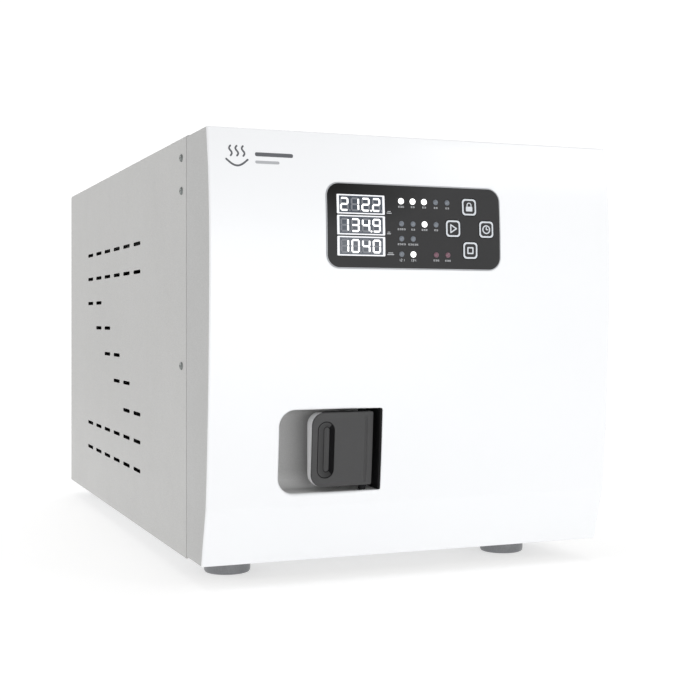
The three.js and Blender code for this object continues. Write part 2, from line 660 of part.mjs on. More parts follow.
// Pivot shaft with a crank web and crank pin on top
piece("handle_crankshaft", "screw_steel", join(
  onPivot(2.4, 87.6, 184),
  onPivot(6, 177, 184, 16),
  box(PIVOT.x - 3.5, PIVOT.x + 3.5, PIVOT.y, PIVOT.y + CRANK_R, 177, 184),
  onPivot(3.5, 177, 184, 14, CRANK_R),
  onPivot(2.5, 183, 191.5, 14, CRANK_R),
));

// Upright plate with keeper windows, an arm slotted for the crank pin, and a tab at the lock
function latchSlide() {
  const windows = KEEPERS_Z.map((z) => box(-181, -157, -360, -340, z - 12, z + 12));
  const pinSlot = box(PIVOT.x - 3.3, PIVOT.x + 3.3, -359.6, -348.6, 180, 195);
  return join(
    cut(box(-199, -152, -352, -348, 100, 300), ...windows),
    cut(box(-199, -48, -361.5, -344, 186, 190), pinSlot),
    box(-199, -195, -349, -310, LOCK.z - 13, LOCK.z + 13),
  );
}
piece("latch_slide", "screw_steel", latchSlide());

// ---- door inside ----
// Liner sheet with two grooved latch guides
function doorLiner() {
  const guide = (z0, z1, grooveZ0, grooveZ1) => cut(
    box(-198, -153, -357, -303, z0, z1),
    box(-215, -140, -352.6, -347.4, grooveZ0, grooveZ1),
  );
  const lockHole = rect(LOCK.x - 6.5, LOCK.x + 7, LOCK.z - 7, LOCK.z + 7);
  return cut(
    join(
      box(-211, 205.5, -303.75, -301.75, 27, 433),
      guide(296, 311, 290, 304.5),
      guide(89, 104, 95.5, 110),
    ),
    ...KEEPERS_Z.map((z) => box(-197, -165, -310, -295, z - 14, z + 14)),
    bar("y", 146, -310, -295, 0, CHAMBER_Z, 44),
    prism("y", -310, -295, rounded(lockHole, 4, 2)),
  );
}
piece("door_liner", "bezel_white", doorLiner());
piece("pressure_door", "stainless", turned([
  [0, -320], [70, -320], [118, -317], [134, -311], [143, -311], [143, -303], [0, -303],
]));
piece("door_gasket", "silicone",
  turned([[127, -302.7], [138.5, -302.7], [137, -299.3], [129, -299.3]]));
// Cross bar with a block at its hinge end, a central boss and a hexagon
piece("locking_yoke", "cast_grey", join(
  boxes([-165, 200, -338, -322, 180, 220], [178, 200, -325, -311.9, 180, 220]),
  bar("y", 16, -346, -320.4, 0, CHAMBER_Z),
  bar("y", 10, -356, -346, 0, CHAMBER_Z, 6),
));

// ---- filler lid: rounded rear edge and a finger notch at the front ----
const lidProfile = [
  [LID.frontY, TOP_Z - 2 * LID.edgeR],
  ...arc(LID.axisY, TOP_Z - LID.edgeR, LID.edgeR, LID.edgeR, -90, 90, 6),
  [LID.frontY, TOP_Z],
];
piece("filler_lid", "cover_grey", cut(
  prism("x", -LID.halfWidth, LID.halfWidth, lidProfile),
  bar("z", 14, TOP_Z - 8, TOP_Z + 5, 0, LID.frontY - 4),
));

export default root;
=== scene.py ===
import bpy
import json
import math
import numpy as np
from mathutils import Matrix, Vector
from mathutils.geometry import delaunay_2d_cdt


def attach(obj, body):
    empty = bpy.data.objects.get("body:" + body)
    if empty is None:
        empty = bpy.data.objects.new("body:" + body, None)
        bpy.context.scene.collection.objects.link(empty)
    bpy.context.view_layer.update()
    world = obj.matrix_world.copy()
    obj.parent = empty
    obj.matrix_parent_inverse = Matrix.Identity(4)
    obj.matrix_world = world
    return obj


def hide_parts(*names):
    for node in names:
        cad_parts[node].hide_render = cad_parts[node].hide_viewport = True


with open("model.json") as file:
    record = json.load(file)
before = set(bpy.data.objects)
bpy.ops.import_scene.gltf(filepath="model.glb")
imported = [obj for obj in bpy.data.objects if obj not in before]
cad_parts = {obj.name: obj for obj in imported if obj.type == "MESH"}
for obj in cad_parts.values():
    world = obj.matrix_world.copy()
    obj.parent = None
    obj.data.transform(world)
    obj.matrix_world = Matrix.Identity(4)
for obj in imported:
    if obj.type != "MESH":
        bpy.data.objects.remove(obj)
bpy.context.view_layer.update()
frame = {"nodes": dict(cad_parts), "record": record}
NODES = frame["nodes"]

# Lengths below are millimetres in the row frame: x right, y back, z up.
HW = 218.0
Z0, Z1 = 20.0, 440.0
DOOR_Z0, DOOR_Z1 = 21.5, 438.5
SEAM_Y, REAR_Y, DOOR_BACK = -299.25, 375.0, -300.75
CH_Z, CH_R = 200.0, 123.5
PANEL = (-101.6, 86.8, 306.8, 389.5, 13.0)
POCKET = (-147.0, -41.0, 89.0, 170.0, 16.0)


# ------------------------------------------------------------------ materials
def nt_new(name):
    m = bpy.data.materials.new(name)
    m.use_nodes = True
    t = m.node_tree
    b = t.nodes["Principled BSDF"]
    return m, t, b


def surface(name, color, rough=0.5, metal=0.0, mottle=0.03, mottle_scale=6.0, grain=0.0, grain_scale=900.0,
            rough_var=0.06, bump2=0.0, bump2_scale=60.0, brushed=None, coat=0.0, emission=None, speckle=0.0,
            gradient=None, edge_wear=0.0, spec=0.5, alpha=None, ring_scale=None, corner=None):
    """A procedural finish: colour with slow variation, roughness variation, fine grain in colour and bump."""
    m, t, b = nt_new(name)
    N, L = t.nodes, t.links
    tc = N.new("ShaderNodeTexCoord")
    geo = N.new("ShaderNodeNewGeometry")
    pos = tc.outputs["Object"]

    def noise(scale, detail=4.0, rough_=0.55, vec=pos):
        n = N.new("ShaderNodeTexNoise")
        n.inputs["Scale"].default_value = scale
        n.inputs["Detail"].default_value = detail
        n.inputs["Roughness"].default_value = rough_
        L.new(vec, n.inputs["Vector"])
        return n.outputs["Fac"]

    def mixc(a, bb, fac, mode="MIX"):
        x = N.new("ShaderNodeMix")
        x.data_type = "RGBA"
        x.blend_type = mode
        for sock, val in ((x.inputs[0], fac), (x.inputs[6], a), (x.inputs[7], bb)):
            if hasattr(val, "is_linked"):
                L.new(val, sock)
            else:
                sock.default_value = val
        return x.outputs[2]

    def ramp(fac, lo, hi, a, bb):
        r = N.new("ShaderNodeMapRange")
        r.inputs[1].default_value, r.inputs[2].default_value = lo, hi
        r.inputs[3].default_value, r.inputs[4].default_value = a, bb
        L.new(fac, r.inputs[0])
        return r.outputs[0]

    c = (*color, 1.0)
    dark = (*[max(0, v * (1 - 2 * mottle)) for v in color], 1.0)
    lite = (*[min(1, v * (1 + mottle)) for v in color], 1.0)
    col = mixc(dark, lite, ramp(noise(mottle_scale), 0.3, 0.7, 0.0, 1.0))
    if speckle:
        sp = ramp(noise(grain_scale * 0.8, 2.0, 0.7), 0.35, 0.65, 1 - speckle, 1 + speckle)
        comb = N.new("ShaderNodeCombineColor")
        for i in range(3):
            L.new(sp, comb.inputs[i])
        col = mixc(col, comb.outputs[0], 1.0, "MULTIPLY")
    # gradient: a brightness ramp along one object axis, multiplied into the colour; where it is used it is painted
    # light
    if gradient:
        axis, lo, hi, a, bb = gradient
        sep = N.new("ShaderNodeSeparateXYZ")
        L.new(pos, sep.inputs[0])
        g = ramp(sep.outputs[axis], lo, hi, a, bb)
        comb = N.new("ShaderNodeCombineColor")
        for i in range(3):
            L.new(g, comb.inputs[i])
        col = mixc(col, comb.outputs[0], 1.0, "MULTIPLY")
    # corner: darkens the colour near one point in x and z; where it is used it is painted shade
    if corner:
        (cx, cz), r0, r1, low = corner
        sub = N.new("ShaderNodeVectorMath")
        sub.operation = "DISTANCE"
        flat = N.new("ShaderNodeVectorMath")
        flat.operation = "MULTIPLY"
        flat.inputs[1].default_value = (0.42, 0.0, 1.0)
        L.new(pos, flat.inputs[0])
        L.new(flat.outputs[0], sub.inputs[0])
        sub.inputs[1].default_value = (cx * 0.42, 0.0, cz)
        g = ramp(sub.outputs["Value"], r0 * 0.2, r1 * 0.5, low, 1.0)
        comb = N.new("ShaderNodeCombineColor")
        for i in range(3):
            L.new(g, comb.inputs[i])
        col = mixc(col, comb.outputs[0], 1.0, "MULTIPLY")
    if edge_wear:
        w = ramp(geo.outputs["Pointiness"], 0.52, 0.60, 0.0, edge_wear)
        col = mixc(col, (*[min(1, v * 1.5 + 0.05) for v in color], 1.0), w)
    L.new(col, b.inputs["Base Color"])
    b.inputs["Metallic"].default_value = metal
    b.inputs["Specular IOR Level"].default_value = spec
    L.new(ramp(noise(mottle_scale * 3.7, 5.0), 0.3, 0.7, max(0.02, rough - rough_var), min(1, rough + rough_var)), b.inputs["Roughness"])
    if coat:
        b.inputs["Coat Weight"].default_value = coat
        b.inputs["Coat Roughness"].default_value = 0.12
    normal = None

    def bump(fac, strength, dist):
        nonlocal normal
        k = N.new("ShaderNodeBump")
        k.inputs["Strength"].default_value = strength
        k.inputs["Distance"].default_value = dist
        L.new(fac, k.inputs["Height"])
        if normal is not None:
            L.new(normal, k.inputs["Normal"])
        normal = k.outputs["Normal"]

    if grain:
        bump(noise(grain_scale, 3.0, 0.6), grain, 0.0002)
    if bump2:
        bump(noise(bump2_scale, 3.0, 0.5), bump2, 0.001)
    if brushed is not None:
        mp = N.new("ShaderNodeMapping")
        s = [900.0, 900.0, 900.0]
        s[brushed] = 6.0
        mp.inputs["Scale"].default_value = s
        L.new(pos, mp.inputs["Vector"])
        n = noise(1.0, 3.0, 0.6, mp.outputs[0])
        bump(n, 0.12, 0.0002)
        if metal:
            b.inputs["Anisotropic"].default_value = 0.4
    if ring_scale:
        sep = N.new("ShaderNodeSeparateXYZ")
        L.new(pos, sep.inputs[0])
        comb = N.new("ShaderNodeCombineXYZ")
        L.new(sep.outputs[0], comb.inputs[0])
        sub = N.new("ShaderNodeMath"); sub.operation = "SUBTRACT"; sub.inputs[1].default_value = CH_Z / 1000
        L.new(sep.outputs[2], sub.inputs[0])
        L.new(sub.outputs[0], comb.inputs[1])
        ln = N.new("ShaderNodeVectorMath"); ln.operation = "LENGTH"
        L.new(comb.outputs[0], ln.inputs[0])
        mu = N.new("ShaderNodeMath"); mu.operation = "MULTIPLY"; mu.inputs[1].default_value = ring_scale
        L.new(ln.outputs["Value"], mu.inputs[0])
        c2 = N.new("ShaderNodeCombineXYZ")
        L.new(mu.outputs[0], c2.inputs[0])
        bump(noise(1.0, 2.0, 0.5, c2.outputs[0]), 0.15, 0.0002)
    if normal is not None:
        L.new(normal, b.inputs["Normal"])
    if emission:
        b.inputs["Emission Color"].default_value = (*emission[:3], 1.0)
        b.inputs["Emission Strength"].default_value = emission[3]
    if alpha is not None:
        b.inputs["Alpha"].default_value = alpha
    return m


M = {}
M["door_white"] = surface("door_white", (0.88, 0.89, 0.905), 0.34, mottle=0.006, mottle_scale=3, grain=0.05, grain_scale=700, rough_var=0.03, bump2=0.01, bump2_scale=20, coat=0.15)
M["cover_paint"] = surface("cover_paint", (0.505, 0.503, 0.494), 0.52, mottle=0.012, mottle_scale=4, grain=0.35, grain_scale=1300, speckle=0.10, rough_var=0.06, bump2=0.05, bump2_scale=260)
M["base_steel"] = surface("base_steel", (0.44, 0.445, 0.45), 0.5, mottle=0.02, grain=0.3, grain_scale=1200, speckle=0.08, rough_var=0.06)
M["bezel_white"] = surface("bezel_white", (0.80, 0.81, 0.82), 0.5, mottle=0.01, grain=0.25, grain_scale=1000, speckle=0.02)
M["foot_rubber"] = surface("foot_rubber", (0.235, 0.24, 0.25), 0.36, 0.45, mottle=0.05, mottle_scale=30, grain=0.25, grain_scale=900, speckle=0.08, edge_wear=0.3)
M["handle_charcoal"] = surface("handle_charcoal", (0.053, 0.053, 0.054), 0.50, spec=0.35, mottle=0.02, mottle_scale=20, grain=0.35, grain_scale=1600, speckle=0.06, rough_var=0.05)
# The pocket grey is multiplied brighter towards the bottom of the pocket: painted light, standing for light falling
# from above onto the pocket's lower part.
M["recess_grey"] = surface("recess_grey", (0.50, 0.50, 0.498), 0.55, mottle=0.02, mottle_scale=12, grain=0.4, grain_scale=1400, speckle=0.05, gradient=(2, 0.0885, 0.108, 1.45, 1.0))
# The overlay is darkened towards its top-left corner: painted shade.
M["panel_dark"] = surface("panel_dark", (0.034, 0.034, 0.035), 0.5, mottle=0.02, mottle_scale=8, grain=0.2, grain_scale=2200, speckle=0.05, rough_var=0.04, spec=0.18, corner=((-0.101, 0.389), 0.030, 0.095, 0.03))
M["print_light"] = surface("print_light", (0.66, 0.69, 0.73), 0.5, mottle=0.01, grain=0.05)
M["print_caption"] = surface("print_caption", (0.50, 0.51, 0.53), 0.5, mottle=0.02, grain=0.05)
# This grey is print on the steam mark, and also a painted highlight where it forms the pale rim round the overlay.
M["print_grey"] = surface("print_grey", (0.42, 0.43, 0.45), 0.5, mottle=0.02, grain=0.05)
M["print_dark"] = surface("print_dark", (0.10, 0.105, 0.115), 0.45, mottle=0.03, grain=0.05)
M["display_window"] = surface("display_window", (0.048, 0.062, 0.085), 0.22, mottle=0.03, grain=0.03, coat=0.3)
# The pale frame round each display window glows faintly though it is no lamp: painted light.
M["display_frame"] = surface("display_frame", (0.88, 0.89, 0.92), 0.4, mottle=0.01, grain=0.05, emission=(0.9, 0.92, 1.0, 0.12))
M["segment_lit"] = surface("segment_lit", (0.95, 0.95, 0.95), 0.4, mottle=0.0, emission=(1, 1, 1, 0.8))
M["segment_off"] = surface("segment_off", (0.19, 0.20, 0.225), 0.4, mottle=0.03)
M["lamp_lit"] = surface("lamp_lit", (0.95, 0.95, 0.95), 0.3, mottle=0.0, emission=(1, 1, 1, 1.2))
M["lamp_off"] = surface("lamp_off", (0.155, 0.175, 0.205), 0.3, mottle=0.05, mottle_scale=200, coat=0.3)
M["lamp_red"] = surface("lamp_red", (0.17, 0.075, 0.105), 0.3, mottle=0.05, mottle_scale=200, coat=0.3)
M["stainless"] = surface("stainless", (0.48, 0.485, 0.495), 0.32, 1.0, mottle=0.015, mottle_scale=9, brushed=1, rough_var=0.03)
M["stainless_chamber"] = surface("stainless_chamber", (0.82, 0.825, 0.835), 0.40, 1.0, mottle=0.012, mottle_scale=9, ring_scale=900, rough_var=0.02)
M["stainless_spun"] = surface("stainless_spun", (0.54, 0.545, 0.555), 0.33, 1.0, mottle=0.012, mottle_scale=9, ring_scale=900, rough_var=0.02)
M["screw_dark"] = surface("screw_dark", (0.20, 0.215, 0.21), 0.42, 0.8, mottle=0.08, mottle_scale=90, grain=0.2, grain_scale=900, rough_var=0.1, edge_wear=0.3)
# Light grey for the side walls of the dark charcoal lever that face left: a painted highlight for the lit side of the
# lever.
M["lever_edge"] = surface("lever_edge", (0.88, 0.88, 0.89), 0.38, 0.0, mottle=0.02, mottle_scale=20, grain=0.3, grain_scale=1600, speckle=0.04)
M["zinc_steel"] = surface("zinc_steel", (0.47, 0.475, 0.49), 0.36, 1.0, mottle=0.05, mottle_scale=40, grain=0.15, grain_scale=900, rough_var=0.09, edge_wear=0.2)
M["silicone"] = surface("silicone", (0.66, 0.62, 0.55), 0.55, mottle=0.03, grain=0.15, grain_scale=700)
M["insulation_foil"] = surface("insulation_foil", (0.62, 0.63, 0.64), 0.35, 0.9, mottle=0.05, mottle_scale=30, bump2=0.8, bump2_scale=90)
M["insulation_blanket"] = surface("insulation_blanket", (0.70, 0.70, 0.69), 0.6, 0.3, mottle=0.05, mottle_scale=30, bump2=0.9, bump2_scale=60)
M["brass"] = surface("brass", (0.62, 0.44, 0.17), 0.3, 1.0, mottle=0.05, mottle_scale=50, grain=0.1, rough_var=0.08, edge_wear=0.2)
M["aluminium"] = surface("aluminium", (0.62, 0.63, 0.64), 0.38, 1.0, mottle=0.03, mottle_scale=20, brushed=0)
M["pcb_green"] = surface("pcb_green", (0.03, 0.13, 0.06), 0.4, mottle=0.12, mottle_scale=120, grain=0.1, coat=0.4)
M["black_plastic"] = surface("black_plastic", (0.022, 0.022, 0.024), 0.45, mottle=0.06, mottle_scale=25, grain=0.35, grain_scale=1200)
M["tank_plastic"] = surface("tank_plastic", (0.72, 0.74, 0.73), 0.45, mottle=0.02, grain=0.1, grain_scale=500)
M["cast_grey"] = surface("cast_grey", (0.21, 0.215, 0.22), 0.55, 0.3, mottle=0.06, mottle_scale=18, grain=0.6, grain_scale=380, speckle=0.06)
# This near-black is painted shade wherever it sits in gaps, vent walls, screw crosses and the lever groove; cables and
# cable ties also take it as their own colour.
M["gap_dark"] = surface("gap_dark", (0.010, 0.010, 0.011), 0.7, mottle=0.05, grain=0.1, spec=0.12)
# The door's side walls take the cover's grey paint made about 9 % darker: the grey is the frame's paint, the extra
# darkening is painted shade.
M["door_side"] = surface("door_side", (0.462, 0.462, 0.456), 0.52, mottle=0.012, mottle_scale=4, grain=0.35, grain_scale=1300, speckle=0.10, rough_var=0.06, bump2=0.05, bump2_scale=260)


# ------------------------------------------------------------------ mesh code
class Skin:
    """Faces with their own corner normals. make() welds them into one mesh; inner() closes a sheet with a second side."""

    def __init__(s):
        s.faces = []

    def face(s, pts, nrm=None, m=0):
        s.faces.append(([tuple(p) for p in pts], None if nrm is None else [tuple(n) for n in nrm], m))

    def grid(s, P, N=None, m=0, flip=False, ring=False, cols=None):
        P = np.asarray(P, float)
        a, b = P.shape[:2]
        for i in range(a - 1):
            for j in range(b if ring else b - 1):
                k = (j + 1) % b
                idx = [(i, j), (i, k), (i + 1, k), (i + 1, j)]
                if flip:
                    idx.reverse()
                s.face([P[q] for q in idx], None if N is None else [N[q[0]][q[1]] for q in idx], cols[j] if cols else m)

    def make(s, name, mats, inner=None, inner_mat=0):
        verts, key, faces, normals, mat = [], {}, [], [], []

        def vid(p):
            k = (round(p[0] * 500), round(p[1] * 500), round(p[2] * 500))
            if k not in key:
                key[k] = len(verts)
                verts.append(p)
            return key[k]

        for pts, nrm, m in s.faces:
            ids, ns = [], []
            for i, p in enumerate(pts):
                v = vid(p)
                if v in ids:
                    continue
                ids.append(v)
                ns.append(nrm[i] if nrm else None)
            if len(ids) < 3:
                continue
            faces.append(ids)
            normals.append(ns)
            mat.append(m)
        if inner is not None:
            n0 = len(verts)
            verts += [tuple(q) for q in inner(np.array(verts, float))]
            edges = {}
            for f in faces:
                for i in range(len(f)):
                    edges[(f[i], f[(i + 1) % len(f)])] = 1
            outer_faces = list(faces)
            for f in outer_faces:
                faces.append([v + n0 for v in reversed(f)])
                normals.append([None] * len(f))
                mat.append(inner_mat)
            for (a, b_) in list(edges):
                if (b_, a) not in edges:
                    faces.append([b_, a, a + n0, b_ + n0])
                    normals.append([None] * 4)
                    mat.append(inner_mat)
        V = np.array(verts, float)
        me = bpy.data.meshes.new(name)
        me.from_pydata([tuple(v) for v in V / 1000.0], [], faces)
        for mm in mats:
            me.materials.append(M[mm] if isinstance(mm, str) else mm)
        me.polygons.foreach_set("material_index", mat)
        me.polygons.foreach_set("use_smooth", [True] * len(faces))
        me.update()
        ln = []
        for f, ns in zip(faces, normals):
            if any(n is None for n in ns):
                p = V[f]
                c = np.zeros(3)
                for i in range(len(f)):
                    c += np.cross(p[i], p[(i + 1) % len(f)])
                L_ = np.linalg.norm(c)
                fn = c / L_ if L_ > 1e-12 else np.array([0, 0, 1.0])
            for n in ns:
                ln.append(tuple(n) if n is not None else tuple(fn))
        me.normals_split_custom_set(ln)
        me.update()
        o = bpy.data.objects.new(name, me)
        bpy.context.scene.collection.objects.link(o)
        return o


def finish_piece(o, body, *nodes, slot=None):
    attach(o, body)
    if nodes:
        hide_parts(*nodes)
    return o


def inside(pts, poly):
    x, y = pts[:, 0], pts[:, 1]
    r = np.zeros(len(pts), bool)
    P = np.asarray(poly, float)
    for (x1, y1), (x2, y2) in zip(P, np.roll(P, -1, 0)):
        c = (y1 > y) != (y2 > y)
        with np.errstate(divide="ignore", invalid="ignore"):
            xi = (x2 - x1) * (y - y1) / (y2 - y1) + x1
        r ^= c & (x < xi)
    return r


def cdt(outer, holes=(), extra=()):
    """Triangles of a flat region: an outline, holes and extra points inside. Counter-clockwise in the given axes."""
    pts, edges = [], []
    for loop in [outer, *holes]:
        n0 = len(pts)
        pts += [tuple(p) for p in loop]
        edges += [(n0 + i, n0 + (i + 1) % len(loop)) for i in range(len(loop))]
    pts += [tuple(p) for p in extra]
    v, e, f, ov, *_ = delaunay_2d_cdt([Vector(p) for p in pts], edges, [], 0, 1e-5)
    V = np.array([pts[o[0]] if len(o) else (p.x, p.y) for p, o in zip(v, ov)])
    F = np.array([t for t in f if len(t) == 3])
    c = V[F].mean(1)
    keep = inside(c, outer)
    for h in holes:
        keep &= ~inside(c, h)
    F = F[keep]
    a = V[F]
    area = (a[:, 1, 0] - a[:, 0, 0]) * (a[:, 2, 1] - a[:, 0, 1]) - (a[:, 2, 0] - a[:, 0, 0]) * (a[:, 1, 1] - a[:, 0, 1])
    F[area < 0] = F[area < 0][:, ::-1]
    return V, F[np.abs(area) > 1e-7]


def rrect(x0, x1, z0, z1, r, seg=8, step=None):
    """Rounded rectangle, counter-clockwise, starting at the bottom left. r is one radius or four."""
    rr = list(r) if isinstance(r, (list, tuple)) else [r] * 4
    out = []
    for k, (cx, cz, a0) in enumerate([(x0 + rr[0], z0 + rr[0], 180), (x1 - rr[1], z0 + rr[1], 270), (x1 - rr[2], z1 - rr[2], 0), (x0 + rr[3], z1 - rr[3], 90)]):
        n = seg if rr[k] > 0.01 else 0
        for i in range(n + 1):
            a = math.radians(a0 + (90 * i / n if n else 45))
            out.append((cx + rr[k] * math.cos(a), cz + rr[k] * math.sin(a)))
    if step:
        dense = []
        for p, q in zip(out, out[1:] + out[:1]):
            d = math.hypot(q[0] - p[0], q[1] - p[1])
            n = max(1, int(d / step))
            dense += [(p[0] + (q[0] - p[0]) * i / n, p[1] + (q[1] - p[1]) * i / n) for i in range(n)]
        out = dense
    return out


def rloop(x0, x1, z0, z1, rr, seg=10, sub=8):
    """Rounded rectangle with the same number of points whatever its size, for stacked rings."""
    base = rrect(x0, x1, z0, z1, rr, seg)
    out = []
    for k in range(4):
        arc = base[k * (seg + 1):(k + 1) * (seg + 1)]
        a, b = arc[-1], base[((k + 1) * (seg + 1)) % len(base)]
        out += arc + [(a[0] + (b[0] - a[0]) * i / sub, a[1] + (b[1] - a[1]) * i / sub) for i in range(1, sub)]
    return out


def circle(cx, cz, r, seg=48):
    return [(cx + r * math.cos(2 * math.pi * i / seg), cz + r * math.sin(2 * math.pi * i / seg)) for i in range(seg)]


def stadium(cx, cz, w, h, seg=10):
    """Round-ended slot, w by h."""
    r = min(w, h) / 2
    return rrect(cx - w / 2, cx + w / 2, cz - h / 2, cz + h / 2, r * 0.999, seg)


def out_normals(loop):
    """Outward direction at each point of a counter-clockwise loop."""
    P = np.asarray(loop, float)
    d1 = P - np.roll(P, 1, 0)
    d2 = np.roll(P, -1, 0) - P
    d1 /= np.linalg.norm(d1, axis=1)[:, None]
    d2 /= np.linalg.norm(d2, axis=1)[:, None]
    n = np.stack([d1[:, 1] + d2[:, 1], -(d1[:, 0] + d2[:, 0])], 1)
    n /= np.linalg.norm(n, axis=1)[:, None]
    c = np.clip((n * np.stack([d1[:, 1], -d1[:, 0]], 1)).sum(1), 0.5, 1)
    return n, 1 / c


def offset(loop, d):
    n, k = out_normals(loop)
    return np.asarray(loop, float) + n * (k * d)[:, None]


# ------------------------------------------------------------------ the door's front curve
PTS = np.array([[0, 56.3], [21, 61.7], [42, 68.2], [57, 72.5], [84, 75.6], [113, 78.1], [143, 80.2], [181, 82.5], [218, 84.4],
                [252, 85.2], [294, 85.7], [336, 85.3], [361, 83.2], [386, 80.2], [403, 77.3], [420, 74.3]], float)
_up = np.polyfit((PTS[3:, 0] - 240) / 180, PTS[3:, 1], 5)
_lo = np.polyfit(PTS[:4, 0] / 57, PTS[:4, 1], 2)


def depth(z):
    h = np.asarray(z, float) - 20
    a = np.polyval(_up, (np.maximum(h, 40) - 240) / 180)
    a = np.where(h < 40, np.polyval(_up, (40 - 240) / 180) + (h - 40) * 0.12, a)
    b = np.polyval(_lo, h / 57)
    b = np.where(h > 70, np.polyval(_lo, 70 / 57) + (h - 70) * 0.3, b)
    k = 0.16
    return -np.logaddexp(-a / k, -b / k) * k


def face_y(z, back=0.0):
    return -300 - depth(z) + back


def face_n(z):
    s = (depth(np.asarray(z, float) + 0.05) - depth(np.asarray(z, float) - 0.05)) / 0.1
    n = np.stack([np.zeros_like(s), -np.ones_like(s), -s], -1)
    return n / np.linalg.norm(n, axis=-1, keepdims=True)


def fp(x, z, back=0.0):
    return (float(x), float(face_y(z, back)), float(z))


def fn(z):
    return tuple(face_n(float(z)))


def corner(prev_dir, at, next_dir, r, seg):
    """Points and normals of a rounded corner in y, z; the normal is the direction turned right."""
    a, b = np.array(prev_dir, float), np.array(next_dir, float)
    a /= np.linalg.norm(a)
    b /= np.linalg.norm(b)
    turn = math.acos(np.clip(a @ b, -1, 1))
    t = r * math.tan(turn / 2)
    start = np.array(at) - a * t
    na = np.array([-a[1], a[0]])
    centre = start - na * r
    out = []
    for i in range(seg + 1):
        ang = -turn * i / seg
        c, s_ = math.cos(ang), math.sin(ang)
        n = np.array([na[0] * c - na[1] * s_, na[0] * s_ + na[1] * c])
        out.append((centre + n * r, n))
    return out


def door_levels(z0, z1, step=6.0):
    zs = list(np.linspace(z0, z1, int((z1 - z0) / step) + 1))
    zs += [77 + d for d in (-3.2, -2.2, -1.4, -0.7, 0, 0.7, 1.4, 2.2, 3.2)]
    return sorted(z for z in set(zs) if z0 <= z <= z1)


def lip_radius(x):
    return np.interp(x, [-75, -41], [3.6, 1.0])


